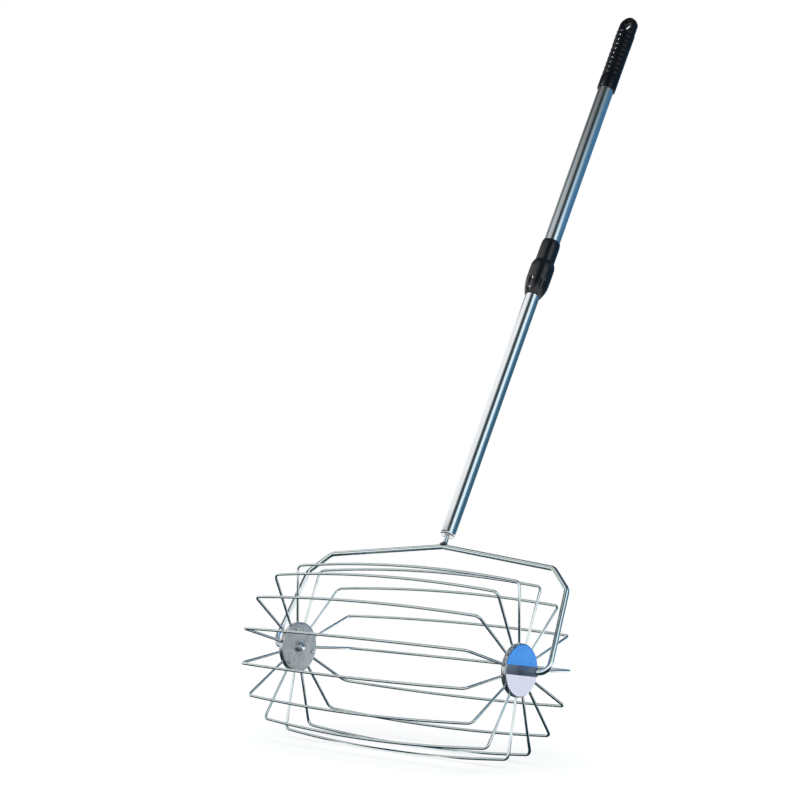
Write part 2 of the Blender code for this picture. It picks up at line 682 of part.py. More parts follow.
def collar_side_radius(height):
    """The collar's outer radius below its flare, with the taper to its bottom end."""
    share = min((height - COLLAR_BOTTOM) / COLLAR_TAPER_LENGTH, 1.0)
    end_radius = COLLAR_END_DIAMETER / 2
    return end_radius + (COLLAR_DIAMETER / 2 - end_radius) * math.sin(share * math.pi / 2)


def flute_size(height):
    """The radius of a flute's round cut at a height, which shrinks to nothing at its top."""
    share = min(max((height - FLUTE_TOP) / COLLAR_FLUTE_END + 1, 0.0), 1.0)
    return COLLAR_FLUTE_RADIUS * math.sqrt(1 - share * share)


def flute_floor(angle, height):
    """How far from the axis the nearest flute's floor lies, at an angle and a height."""
    spacing = 2 * math.pi / COLLAR_FLUTE_COUNT
    from_first = angle - COLLAR_FLUTE_TURN
    from_middle = from_first - spacing * round(from_first / spacing)
    centre = COLLAR_FLUTE_FLOOR + COLLAR_FLUTE_RADIUS
    aside = centre * math.sin(from_middle)
    size = flute_size(height)
    if abs(aside) >= size:
        return COLLAR_DIAMETER / 2
    return centre * math.cos(from_middle) - math.sqrt(size ** 2 - aside ** 2)


def make_collar():
    """The collar that a hand turns, with straight flutes cut into its tapered end."""
    spigot_bore = SPIGOT_DIAMETER / 2 + RUN_GAP
    end_bore = LOWER_TUBE_DIAMETER / 2 + 2 * RUN_GAP
    ring_room = CLAMP_RING_DIAMETER / 2 + RUN_GAP
    outer = COLLAR_DIAMETER / 2
    floor_height = CLAMP_RING_BOTTOM - CLAMP_TRAVEL - RUN_GAP
    flare_bottom = COLLAR_TOP - COLLAR_FLARE_LENGTH
    outline = [
        (end_bore, COLLAR_BOTTOM),
        (end_bore, floor_height),
        (ring_room, floor_height),
        (ring_room, CLAMP_RING_TOP),
        (spigot_bore, CLAMP_RING_TOP),
        (spigot_bore, COLLAR_TOP),
        (spigot_bore + COLLAR_LIP, COLLAR_TOP),
        (outer - COLLAR_SHOULDER_DEPTH, flare_bottom + COLLAR_SHOULDER_LENGTH),
        (outer, flare_bottom),
    ]
    tapers = range(COLLAR_TAPER_STEPS + 1)
    heights = [COLLAR_BOTTOM + COLLAR_TAPER_LENGTH * step / COLLAR_TAPER_STEPS for step in tapers]
    end_rows = range(COLLAR_FLUTE_END_STEPS + 1)
    heights += [FLUTE_TOP - COLLAR_FLUTE_END * row / COLLAR_FLUTE_END_STEPS for row in end_rows]
    outline += [(collar_side_radius(height), height) for height in sorted(heights, reverse=True)]
    collar = turned("twist_collar", outline, BLACK_PLASTIC, COLLAR_SIDES)
    for vertex in collar.data.vertices:
        x, y, height = vertex.co
        radius = math.hypot(x, y)
        if radius > collar_side_radius(height) - SEAT_GAP / 2:
            share = min(flute_floor(math.atan2(y, x), height) / radius, 1.0)
            vertex.co.x *= share
            vertex.co.y *= share
    return collar


def grip_side_radius(height):
    """The grip's outer radius below its dome, with the step up to its wider head."""
    share = min(max((height - GRIP_HEAD_BOTTOM) / GRIP_STEP_LENGTH, 0.0), 1.0)
    return (GRIP_DIAMETER + (GRIP_HEAD_DIAMETER - GRIP_DIAMETER) * share) / 2


def grip_outline():
    """Radius and height of the grip's outer side from its bottom to its dome."""
    half_ribs = range(-1, 2 * GRIP_RIB_COUNT + 2)
    heights = [GRIP_RIBS_BOTTOM + GRIP_RIB_PITCH * step / 2 for step in half_ribs]
    heights += [GRIP_BOTTOM + GRIP_EDGE, GRIP_HEAD_BOTTOM, GRIP_HEAD_BOTTOM + GRIP_STEP_LENGTH]
    points = [(GRIP_DIAMETER / 2 - GRIP_EDGE, GRIP_BOTTOM)]
    points += [(grip_side_radius(height), height) for height in sorted(heights)]
    dome_radius = GRIP_HEAD_DIAMETER / 2
    for step in range(GRIP_DOME_STEPS):
        angle = math.pi / 2 * step / GRIP_DOME_STEPS
        height = GRIP_TOP - dome_radius + dome_radius * math.sin(angle)
        points.append((dome_radius * math.cos(angle), height))
    return points


def rib_depth(x, y, height):
    """How far the grip's side is drawn in at a place, by the grooves between its ribs."""
    along = (height - GRIP_RIBS_BOTTOM) / GRIP_RIB_PITCH
    in_ribs = -0.5 < along < GRIP_RIB_COUNT + 0.5
    from_front = abs(math.atan2(x, -y))
    if not in_ribs or from_front > GRIP_RIB_SWEEP:
        return 0.0
    return GRIP_RIB_DEPTH * (0.5 + 0.5 * math.cos(2 * math.pi * along))


def make_grip(pole_frame):
    """The grip: a sleeve with cross ribs on its front and a flattened head with a hole."""
    socket_radius = UPPER_TUBE_DIAMETER / 2 + SEAT_GAP
    socket_top = UPPER_TUBE_TOP + SEAT_GAP
    outline = [(0.0, socket_top), (socket_radius, socket_top), (socket_radius, GRIP_BOTTOM)]
    outline += grip_outline() + [(0.0, GRIP_TOP)]
    grip = turned("grip", outline, BLACK_PLASTIC, closed=False)
    for vertex in grip.data.vertices:
        x, y, height = vertex.co
        radius = math.hypot(x, y)
        if abs(radius - grip_side_radius(height)) > SEAT_GAP / 2:
            continue
        share = 1 - rib_depth(x, y, height) / radius
        vertex.co.x *= share
        vertex.co.y *= share
    place(grip, pole_frame, Matrix())

    outer = GRIP_HEAD_DIAMETER / 2
    boxes = []
    for face in (-1, 1):
        middle = face * (HANG_WEB_THICKNESS / 2 + outer / 2)
        boxes.append((
            Matrix.Translation((0.0, middle, GRIP_TOP)),
            (3 * outer, outer, 2 * HANG_FLAT_LENGTH),
        ))
    flats = joined_boxes("hang_flats", boxes)
    cut(grip, place(flats, pole_frame, Matrix()), "hang_flats")
    hole = joined_pins("hang_hole", [Vector()], HANG_HOLE_DIAMETER / 2, 4 * outer, ROUND_SIDES)
    across = Matrix.Translation((0.0, 0.0, HANG_HOLE_PLACE)) @ Matrix.Rotation(math.pi / 2, 4, "X")
    cut(grip, place(hole, pole_frame, across), "hang_hole")


def empty(name, parent, matrix):
    """An empty that carries the pieces of one moving body."""
    return place(bpy.data.objects.new(name, None), parent, matrix)


def main():
    """Build the whole part."""
    clear_scene()
    centre = Matrix.Translation(axle_centre())
    spin_axis = empty("cage_spin_axis", None, centre)
    yoke_frame = empty("lower_pole_axis", None, centre @ Matrix.Rotation(-POLE_LEAN, 4, "X"))
    pole_frame = empty("upper_pole_axis", None, centre @ Matrix.Rotation(-POLE_LEAN, 4, "X"))
    make_cage_wires(spin_axis)
    for side, label in ((1, "right"), (-1, "left")):
        make_hub(spin_axis, side, label)
        make_axle_fittings(yoke_frame, side, label)
    make_yoke(yoke_frame)
    make_neck(yoke_frame)
    make_lower_tube(yoke_frame)
    make_upper_tube(pole_frame)
    make_lock(pole_frame)
    make_grip(pole_frame)
    bpy.context.view_layer.update()


main()
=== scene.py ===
"""Looks of a roller ball collector: a wire cage in a bent yoke on a telescopic pole.

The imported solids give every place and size. Lengths are in metres. The cage's axle lies
along X, the pole leans back towards +Y, and the cage stands on the floor at Z = 0.
Pole pieces are made upright round local Z, measured from the axle, and then leaned back.
"""

import json
import logging
import math
from dataclasses import dataclass
from enum import Enum
from typing import Callable, Iterable, Optional, Sequence, Union

import bmesh
import bpy
from mathutils import Matrix, Vector


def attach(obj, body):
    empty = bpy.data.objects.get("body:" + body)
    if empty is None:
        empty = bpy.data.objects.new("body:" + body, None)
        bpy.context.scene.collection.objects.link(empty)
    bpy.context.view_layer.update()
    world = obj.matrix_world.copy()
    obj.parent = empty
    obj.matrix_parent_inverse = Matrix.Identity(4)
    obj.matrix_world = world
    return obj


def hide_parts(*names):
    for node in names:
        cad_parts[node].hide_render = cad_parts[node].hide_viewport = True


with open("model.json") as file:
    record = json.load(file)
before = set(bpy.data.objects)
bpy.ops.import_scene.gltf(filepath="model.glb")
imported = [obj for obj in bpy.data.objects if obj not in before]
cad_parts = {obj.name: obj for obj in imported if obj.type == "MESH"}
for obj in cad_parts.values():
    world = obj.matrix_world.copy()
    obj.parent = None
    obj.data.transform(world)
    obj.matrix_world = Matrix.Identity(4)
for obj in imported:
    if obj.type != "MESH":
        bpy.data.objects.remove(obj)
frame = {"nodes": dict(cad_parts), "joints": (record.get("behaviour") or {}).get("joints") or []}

log = logging.getLogger("ball_collector")

# Places and directions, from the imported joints
JOINTS = {joint["name"]: joint for joint in frame["joints"]}
AXLE = Vector(JOINTS["cage_spin"]["pos_m"])
POLE_WAY = Vector(JOINTS["pole_slide"]["axis"]).normalized()
POLE_LEAN = math.atan2(POLE_WAY.y, POLE_WAY.z)
POLE_BACK = Vector((0.0, math.cos(POLE_LEAN), -math.sin(POLE_LEAN)))
ON_AXLE = Matrix.Translation(AXLE)
ON_POLE = ON_AXLE @ Matrix.Rotation(-POLE_LEAN, 4, "X")
UP = Vector((0.0, 0.0, 1.0))
BACK = Vector((0.0, 1.0, 0.0))
ACROSS = Vector((1.0, 0.0, 0.0))

# What several pieces share; GAP is the room that is left between two neighbours
GAP = 0.0003
MERGE_DISTANCE = 0.000002
SMOOTH_ANGLE = math.radians(35.0)
BEND_STEP = math.radians(7.0)
BOW_RADIUS = 1.0
BOW_STEPS = 36
WHITE = (1.0, 1.0, 1.0)

Piece = bpy.types.Object
Pair = tuple[float, float]
Profile = Sequence[Pair]
Colour = tuple[float, float, float]


class Side(Enum):
    """One end of the cage."""

    RIGHT = 1
    LEFT = -1

    @property
    def label(self) -> str:
        """The word that the end's pieces carry in their names."""
        return self.name.lower()


class Slot(Enum):
    """The record's material slots."""

    WIRE = "bright_wire"
    TUBE = "polished_tube"
    HUB = "hub_metal"
    BADGE = "badge"
    BLACK = "black_plastic"
    BUSH = "bush_plastic"


# Shader tools


class Signal:
    """One output socket, with arithmetic that adds Math nodes."""

    def __init__(self, sheet: "Sheet", socket: bpy.types.NodeSocket) -> None:
        """Keep the socket and the sheet that it is on."""
        self.sheet = sheet
        self.socket = socket

    def __add__(self, other: "Number") -> "Signal":
        """Add a number or signal."""
        return self.sheet.math("ADD", self, other)

    def __radd__(self, other: "Number") -> "Signal":
        """Add to a number."""
        return self.sheet.math("ADD", other, self)

    def __sub__(self, other: "Number") -> "Signal":
        """Take away a number or signal."""
        return self.sheet.math("SUBTRACT", self, other)

    def __rsub__(self, other: "Number") -> "Signal":
        """Take from a number."""
        return self.sheet.math("SUBTRACT", other, self)

    def __mul__(self, other: "Number") -> "Signal":
        """Multiply by a number or signal."""
        return self.sheet.math("MULTIPLY", self, other)

    def __rmul__(self, other: "Number") -> "Signal":
        """Multiply a number."""
        return self.sheet.math("MULTIPLY", other, self)

    def ramp(self, low: float, high: float) -> "Signal":
        """Rise smoothly from 0 at low to 1 at high."""
        settings = {"interpolation_type": "SMOOTHSTEP", "clamp": True}
        return self.sheet.add("ShaderNodeMapRange", settings, self, low, high, 0.0, 1.0)


Number = Union[Signal, float]
Input = Union[Signal, float, tuple, Vector]


class Sheet:
    """The node sheet of one material or of the world."""

    def __init__(self, tree: bpy.types.NodeTree) -> None:
        """Start from an empty sheet."""
        self.tree = tree
        tree.nodes.clear()

    def add(self, kind: str, settings: Optional[dict] = None, *values: Optional[Input],
            out: Union[int, str] = 0, **named: Input) -> Signal:
        """Add a node.

        Args:
            kind: The node's type.
            settings: What is set before the sockets, a ramp's stops among them.
            values: What feeds the first sockets, in their order, or None to leave one.
            out: The output that is wanted.
            named: What feeds other sockets, with _ for a space in a name.

        Returns:
            The wanted output.
        """
        node = self.tree.nodes.new(kind)
        for key, value in (settings or {}).items():
            setattr(node, key, value)
        for number, value in enumerate(values):
            if value is not None:
                self.feed(node.inputs[number], value)
        for key, value in named.items():
            self.feed(node.inputs[key.replace("_", " ")], value)
        return Signal(self, node.outputs[out])

    def feed(self, socket: bpy.types.NodeSocket, value: Input) -> None:
        """Link a signal to a socket, or set the socket's own value.

        Args:
            socket: The input socket.
            value: What feeds it.
        """
        if isinstance(value, Signal):
            self.tree.links.new(value.socket, socket)
        elif socket.type == "RGBA":
            socket.default_value = (*value, 1.0)
        else:
            socket.default_value = value

    def math(self, operation: str, *values: Number) -> Signal:
        """Add a Math node."""
        return self.add("ShaderNodeMath", {"operation": operation}, *values)

    def vector_math(self, operation: str, *values: Input, out: str = "Vector") -> Signal:
        """Add a Vector Math node."""
        return self.add("ShaderNodeVectorMath", {"operation": operation}, *values, out=out)

    def place(self) -> Signal:
        """The point's place in Object coordinates, measured from the cage's axle."""
        point = self.add("ShaderNodeTexCoord", out="Object")
        return self.vector_math("SUBTRACT", point, AXLE)

    def along(self, way: Vector) -> Signal:
        """How far the point lies from the axle, along a direction."""
        return self.vector_math("DOT_PRODUCT", self.place(), way, out="Value")

    def round_pole(self) -> Signal:
        """The point as (angle round the pole, 0, height along the pole)."""
        angle = self.math("ARCTAN2", self.along(POLE_BACK), self.along(ACROSS))
        return self.add("ShaderNodeCombineXYZ", None, angle, 0.0, self.along(POLE_WAY))

    def noise(self, point: Signal, scale: float, detail: float = 2.0,
              roughness: float = 0.5) -> Signal:
        """Soft noise from 0 to 1 about a middle of 0.5."""
        return self.add(
            "ShaderNodeTexNoise", {"normalize": True}, out="Fac",
            Vector=point, Scale=scale, Detail=detail, Roughness=roughness,
        )

    def mix(self, share: Number, first: Input, second: Input) -> Signal:
        """Blend two colours, by how much of the second there is."""
        values = (share, *[None] * 5, first, second)
        return self.add("ShaderNodeMix", {"data_type": "RGBA"}, *values, out=2)

    def bump(self, height: Signal, depth: float, strength: float) -> Signal:
        """Turn a height signal into a normal, with its depth in metres."""
        return self.add("ShaderNodeBump", None, Strength=strength, Distance=depth, Height=height)

    def principled(self, colour: Input, rough: Number, normal: Signal,
                   metallic: Number = 1.0, **named: Input) -> Signal:
        """Add the main shader, that of a bare metal unless told otherwise."""
        return self.add(
            "ShaderNodeBsdfPrincipled", None, Base_Color=colour, Roughness=rough,
            Normal=normal, Metallic=metallic, **named,
        )

    def surface(self, shader: Signal, kind: str = "ShaderNodeOutputMaterial") -> None:
        """Link a shader to the sheet's output."""
        output = self.tree.nodes.new(kind)
        self.tree.links.new(shader.socket, output.inputs["Surface"])


def new_material(name: str) -> tuple[bpy.types.Material, Sheet]:
    """Make a material with an empty node sheet.

    Args:
        name: The material's name.

    Returns:
        The material and its sheet.
    """
    material = bpy.data.materials.new(name)
    material.use_nodes = True
    return material, Sheet(material.node_tree)


@dataclass(frozen=True)
class Finish:
    """A surface finish, whose material is made the first time that it is wanted."""

    name: str

    def material(self) -> bpy.types.Material:
        """The material of this finish.

        Returns:
            The material, made now if there is none yet.
        """
        found = bpy.data.materials.get(self.name)
        if found is None:
            found, sheet = new_material(self.name)
            sheet.surface(self.shader(sheet))
        return found

    def shader(self, sheet: Sheet) -> Signal:
        """Build the shader on a sheet.

        Args:
            sheet: The material's empty node sheet.

        Returns:
            The shader.
        """
        raise NotImplementedError


@dataclass(frozen=True)
class DrawnSteel(Finish):
    """Bright drawn wire: fine die marks, small rubs, and a faint drift between a cyan tint,
    painted reflection of blue surroundings, and a warm steel tone.
    """

    # The cyan tint is painted reflection: the blue of the surroundings, put into the wire's own
    # colour.
    reflected_cyan: Colour = (0.78, 0.88, 0.91)
    warm: Colour = (0.86, 0.87, 0.83)
    smooth: float = 0.13
    rubbed: float = 0.30

    def shader(self, sheet: Sheet) -> Signal:
        """Build the shader on a sheet.

        Args:
            sheet: The material's empty node sheet.

        Returns:
            The shader.
        """
        place = sheet.place()
        drift = sheet.noise(place, 26.0, 1.0).ramp(0.35, 0.65)
        rubs = sheet.noise(place, 240.0, 4.0, 0.6).ramp(0.56, 0.74)
        grain = sheet.noise(place, 2600.0, 2.0)
        # Painted cyan reflection, drifting towards warm steel with the noise and the rubs.
        colour = sheet.mix(drift * 0.5 + rubs * 0.25, self.reflected_cyan, self.warm)
        rough = self.smooth + rubs * (self.rubbed - self.smooth) + grain * 0.04
        return sheet.principled(colour, rough, sheet.bump(grain + rubs * 0.5, 0.00001, 0.35))


@dataclass(frozen=True)
class PolishedTube(Finish):
    """Polished tube: lines along the pole, faint rings of wear and cloudy handling marks."""

    base: Colour = (0.84, 0.87, 0.89)
    dull: Colour = (0.76, 0.79, 0.82)
    smooth: float = 0.07
    worn: float = 0.20

    def shader(self, sheet: Sheet) -> Signal:
        """Build the shader on a sheet.

        Args:
            sheet: The material's empty node sheet.

        Returns:
            The shader.
        """
        place = sheet.round_pole()
        line_place, cloud_place, ring_place = (
            sheet.vector_math("MULTIPLY", place, by)
            for by in ((26.0, 1.0, 5.0), (1.1, 1.0, 16.0), (0.12, 1.0, 700.0))
        )
        lines = sheet.noise(line_place, 6.0, 5.0, 0.65)
        clouds = sheet.noise(cloud_place, 1.6, 3.0)
        rings = sheet.noise(ring_place, 1.0, 2.0)
        marks = rings.ramp(0.60, 0.74) * clouds.ramp(0.42, 0.60)
        colour = sheet.mix(clouds.ramp(0.38, 0.66) * 0.55 + marks * 0.35, self.base, self.dull)
        rough = self.smooth + lines * 0.07 + marks * (self.worn - self.smooth)
        return sheet.principled(colour, rough, sheet.bump(lines, 0.00002, 0.30))


@dataclass(frozen=True)
class TurnedSteel(Finish):
    """Turned plate: fine rings round the axle, with rubs that cross them."""

    base: Colour = (0.68, 0.70, 0.72)
    dull: Colour = (0.50, 0.52, 0.54)
    smooth: float = 0.20
    ring_rate: float = 9000.0

    def shader(self, sheet: Sheet) -> Signal:
        """Build the shader on a sheet.

        Args:
            sheet: The material's empty node sheet.

        Returns:
            The shader.
        """
        up, back = sheet.along(UP), sheet.along(BACK)
        radius = sheet.math("SQRT", up * up + back * back)
        rings = sheet.math("SINE", radius * self.ring_rate) * 0.5 + 0.5
        rubs = sheet.noise(sheet.place(), 190.0, 4.0, 0.6)
        colour = sheet.mix(rubs.ramp(0.45, 0.75), self.base, self.dull)
        rough = self.smooth + rings * 0.05 + rubs * 0.14
        return sheet.principled(colour, rough, sheet.bump(rings + rubs, 0.00003, 0.4))


@dataclass(frozen=True)
class BadgePlate(Finish):
    """Mirror-bright plate: blue above, speckled pale below, and a tilted grey stripe between, a
    painted reflection where the collar's real mirror image falls.
    """

    blue: Colour = (0.05, 0.30, 0.84)
    deep_blue: Colour = (0.035, 0.23, 0.74)
    pale: Colour = (0.70, 0.74, 0.88)
    speck: Colour = (0.38, 0.42, 0.60)
    # The grey stripe is painted reflection: it lies along the collar's mirror image and turns that
    # real reflection slate.
    stripe: Colour = (0.46, 0.52, 0.60)
    stripe_half: float = 0.0067
    stripe_slope: float = 0.16
    edge: float = 0.0002
    smooth: float = 0.07
    metal: float = 0.85
    coat: float = 0.3
    coat_rough: float = 0.05

    def shader(self, sheet: Sheet) -> Signal:
        """Build the shader on a sheet.

        Args:
            sheet: The material's empty node sheet.

        Returns:
            The shader.
        """
        place = sheet.place()
        up = sheet.along(UP)
        below = 1 - up.ramp(-self.edge, self.edge)
        # Painted reflection: the stripe follows the collar's mirror image, tilted as it is.
        off = up + sheet.along(BACK) * self.stripe_slope
        inner = (self.stripe_half - self.edge) ** 2
        in_reflection = 1 - (off * off).ramp(inner, (self.stripe_half + self.edge) ** 2)
        clouds = sheet.noise(place, 60.0, 2.0).ramp(0.35, 0.65)
        specks = sheet.noise(place, 1500.0, 2.0, 0.6).ramp(0.50, 0.70)
        upper = sheet.mix(clouds * 0.5, self.blue, self.deep_blue)
        lower = sheet.mix(specks * 0.8, self.pale, self.speck)
        peel = sheet.noise(place, 420.0, 2.0)
        scratch = sheet.noise(place, 130.0, 5.0, 0.7).ramp(0.62, 0.74)
        colour = sheet.mix(in_reflection, sheet.mix(below, upper, lower), self.stripe)
        rough = self.smooth + scratch * 0.15 + specks * below * 0.06
        return sheet.principled(
            colour, rough, sheet.bump(peel, 0.00002, 0.15), self.metal,
            Coat_Weight=self.coat, Coat_Roughness=self.coat_rough,
        )


@dataclass(frozen=True)
class Moulding(Finish):
    """Satin moulding: a spark-eroded grain, soft sheen patches and rubbed spots."""

    base: Colour = (0.0030, 0.0036, 0.0050)
    rubbed: Colour = (0.014, 0.015, 0.019)
    smooth: float = 0.13
    rough: float = 0.24
    gloss: float = 0.6

    def shader(self, sheet: Sheet) -> Signal:
        """Build the shader on a sheet.

        Args:
            sheet: The material's empty node sheet.

        Returns:
            The shader.
        """
        place = sheet.place()
        grain = sheet.noise(place, 1900.0, 3.0, 0.6)
        patches = sheet.noise(place, 45.0, 3.0).ramp(0.40, 0.68)
        rubs = sheet.noise(place, 330.0, 5.0, 0.65).ramp(0.60, 0.78)
        colour = sheet.mix(rubs * 0.6 + patches * 0.12, self.base, self.rubbed)
        rough = self.smooth + patches * 0.05 + grain * (self.rough - self.smooth) - rubs * 0.04
        return sheet.principled(
            colour, rough, sheet.bump(grain, 0.00003, 0.35), 0.0, Specular_IOR_Level=self.gloss,
        )


@dataclass(frozen=True)
class ShadedRimSteel(Finish):
    """Turned plug whose rim, above its bright end face, is painted dark: painted shade for the
    shadow line under the tube's end.
    """

    steel: Colour = (0.86, 0.88, 0.90)
    # The rim's dark colour is painted shade, the shadow line under the tube's end.
    rim_shade: Colour = (0.02, 0.024, 0.03)
    smooth: float = 0.16
    start: float = 0.1943
    end: float = 0.1945

    def shader(self, sheet: Sheet) -> Signal:
        """Build the shader on a sheet.

        Args:
            sheet: The material's empty node sheet.

        Returns:
            The shader.
        """
        # Painted shade on the rim above the end face, which is also made dull and not metal there.
        shaded_rim = sheet.along(POLE_WAY).ramp(self.start, self.end)
        grain = sheet.noise(sheet.place(), 900.0, 3.0)
        colour = sheet.mix(shaded_rim, self.steel, self.rim_shade)
        rough = self.smooth + grain * 0.12 + shaded_rim * 0.2
        return sheet.principled(colour, rough, sheet.bump(grain, 0.00002, 0.3), 1 - shaded_rim)


@dataclass(frozen=True)
class WeldSteel(Finish):
    """Weld bead and its heat tint, which fades up the stud."""

    steel: Colour = (0.84, 0.86, 0.88)
    straw: Colour = (0.20, 0.19, 0.18)
    scale_blue: Colour = (0.025, 0.032, 0.045)
    start: float = 0.1815
    end: float = 0.1870
    smooth: float = 0.10

    def shader(self, sheet: Sheet) -> Signal:
        """Build the shader on a sheet.

        Args:
            sheet: The material's empty node sheet.

        Returns:
            The shader.
        """
        place = sheet.place()
        height = sheet.along(POLE_WAY) + sheet.noise(place, 300.0) * 0.002
        tint = 1 - height.ramp(self.start, self.end)
        core = 1 - height.ramp(self.start - 0.004, self.start + 0.002)
        soot = sheet.noise(place, 900.0, 4.0, 0.6)
        colour = sheet.mix(tint * 0.8, self.steel, self.straw)
        colour = sheet.mix(core * 0.9, colour, self.scale_blue)
        rough = self.smooth + tint * 0.20 + soot * 0.06
        return sheet.principled(colour, rough, sheet.bump(soot, 0.00004, 0.4))


WIRE_STEEL = DrawnSteel("wire_steel")
YOKE_STEEL = DrawnSteel("yoke_steel", smooth=0.11, rubbed=0.26)
WELD_STEEL = WeldSteel("weld_steel")
TUBE_STEEL = PolishedTube("tube_steel")
HUB_STEEL = TurnedSteel("hub_steel")
COVER_STEEL = TurnedSteel("cover_steel", smooth=0.36)
PLUG_STEEL = ShadedRimSteel("plug_steel")
HUB_BADGE = BadgePlate("hub_badge_plate")
BLACK_SATIN = Moulding("black_satin")
GRIP_BLACK = Moulding(
    "grip_black", base=(0.0025, 0.0030, 0.0045), rubbed=(0.007, 0.008, 0.011), gloss=0.27,
)
BUSH_SLATE = Moulding("bush_slate", base=(0.075, 0.115, 0.17), rubbed=(0.13, 0.16, 0.20))
SLIDE_NYLON = Moulding("slide_nylon", base=(0.72, 0.71, 0.67), rubbed=(0.82, 0.81, 0.78))


# Modelling tools


def clear_selection() -> None:
    """Leave edit mode and deselect every object."""
    if bpy.context.mode != "OBJECT":
        bpy.ops.object.mode_set(mode="OBJECT")
    bpy.ops.object.select_all(action="DESELECT")


def select_only(item: Piece) -> None:
    """Make one object the only one selected, and the active one.

    Args:
        item: The object.
    """
    clear_selection()
    item.select_set(True)
    bpy.context.view_layer.objects.active = item


def open_mesh(item: Piece) -> None:
    """Edit the mesh of one object, with all of it selected.

    Args:
        item: The object.
    """
    select_only(item)
    bpy.ops.object.mode_set(mode="EDIT")
    bpy.ops.mesh.select_all(action="SELECT")


def pick(item: Piece, test: Callable[[Vector], bool]) -> int:
    """Select, in edit mode, the vertices whose places pass a test.

    Args:
        item: The object in edit mode.
        test: Says whether a vertex's place is wanted.

    Returns:
        How many vertices are selected.
    """
    bpy.ops.mesh.select_all(action="DESELECT")
    shape = bmesh.from_edit_mesh(item.data)
    count = 0
    for vertex in shape.verts:
        wanted = test(vertex.co)
        vertex.select = wanted
        count += wanted
    shape.select_flush(True)
    bmesh.update_edit_mesh(item.data)
    return count


def face_out() -> None:
    """Turn every face of the mesh that is being edited outwards, and leave edit mode."""
    bpy.ops.mesh.select_all(action="SELECT")
    bpy.ops.mesh.normals_make_consistent(inside=False)
    bpy.ops.object.mode_set(mode="OBJECT")


def close_up(caps: bool = True) -> None:
    """Merge doubles, close the open ends and turn every face outwards.

    Args:
        caps: Whether the mesh in edit mode has open ends to close.
    """
    bpy.ops.mesh.select_all(action="SELECT")
    bpy.ops.mesh.remove_doubles(threshold=MERGE_DISTANCE)
    if caps:
        bpy.ops.mesh.fill_holes(sides=0)
    face_out()


def apply_modifier(item: Piece, kind: str, **settings: object) -> None:
    """Add a modifier, set it up and apply it.

    Args:
        item: The piece.
        kind: The modifier's type.
        settings: What is set on it before it is applied.
    """
    select_only(item)
    modifier = item.modifiers.new(kind.lower(), kind)
    for key, value in settings.items():
        setattr(modifier, key, value)
    bpy.ops.object.modifier_apply(modifier=modifier.name)


def soften(item: Piece, width: float, steps: int = 2, angle: float = 38.0) -> None:
    """Round every edge that is sharper than an angle.

    Args:
        item: The piece.
        width: How wide the rounding is.
        steps: How many faces there are across it.
        angle: The angle, in degrees.
    """
    apply_modifier(
        item, "BEVEL", width=width, segments=steps, limit_method="ANGLE",
        angle_limit=math.radians(angle), use_clamp_overlap=True, harden_normals=False,
    )


def carve(item: Piece, tool: Piece) -> None:
    """Cut a tool out of a piece, and throw the tool away."""
    apply_modifier(item, "BOOLEAN", operation="DIFFERENCE", solver="EXACT", object=tool)
    bpy.data.objects.remove(tool, do_unlink=True)


def first_ring(name: str, sides: int, radius: float) -> Piece:
    """Start a piece from one open ring.

    Args:
        name: The new object's name.
        sides: How many sides the ring has.
        radius: The ring's radius.

    Returns:
        The object, in object mode.
    """
    clear_selection()
    bpy.ops.mesh.primitive_circle_add(vertices=sides, radius=radius, fill_type="NOTHING")
    item = bpy.context.object
    item.name = name
    return item


def turned(name: str, profile: Profile, sides: int, ring: bool = False) -> Piece:
    """Draw a turned piece ring by ring, up its local Z axis.

    Args:
        name: The new object's name.
        profile: (radius, height) of each ring, in order.
        sides: How many sides a ring has.
        ring: Whether the last ring joins the first, as in a tube.

    Returns:
        The object, in object mode.
    """
    radius, height = profile[0]
    item = first_ring(name, sides, radius)
    open_mesh(item)
    bpy.ops.transform.translate(value=(0.0, 0.0, height))
    path = list(profile[1:]) + ([profile[0]] if ring else [])
    for next_radius, next_height in path:
        rise = {"value": (0.0, 0.0, next_height - height)}
        bpy.ops.mesh.extrude_region_move(TRANSFORM_OT_translate=rise)
        growth = next_radius / radius
        bpy.ops.transform.resize(
            value=(growth, growth, 1.0), center_override=(0.0, 0.0, next_height),
        )
        radius, height = next_radius, next_height
    close_up(caps=not ring)
    return item


@dataclass(frozen=True)
class Run:
    """A straight stretch of rod."""

    length: float


@dataclass(frozen=True)
class Bend:
    """A bend of a rod in the XZ plane; its angle is positive where it turns from X to Z."""

    radius: float
    angle: float


def moves_through(points: Sequence[Pair],
                  radii: Sequence[float]) -> tuple[float, list[Union[Run, Bend]]]:
    """Work out the runs and bends of a rod through corner points.

    Args:
        points: (x, z) of the rod's ends and corners.
        radii: The bend radius at each corner.

    Returns:
        The heading at the start, and the runs and bends in order.
    """
    headings = []
    lengths = []
    for (x0, z0), (x1, z1) in zip(points, points[1:]):
        headings.append(math.atan2(z1 - z0, x1 - x0))
        lengths.append(math.hypot(x1 - x0, z1 - z0))
    moves: list[Union[Run, Bend]] = []
    used = 0.0
    for number, radius in enumerate(radii):
        turn = math.remainder(headings[number + 1] - headings[number], math.tau)
        tangent = radius * math.tan(abs(turn) / 2)
        moves.append(Run(lengths[number] - used - tangent))
        moves.append(Bend(radius, turn))
        used = tangent
    moves.append(Run(lengths[-1] - used))
    return headings[0], moves


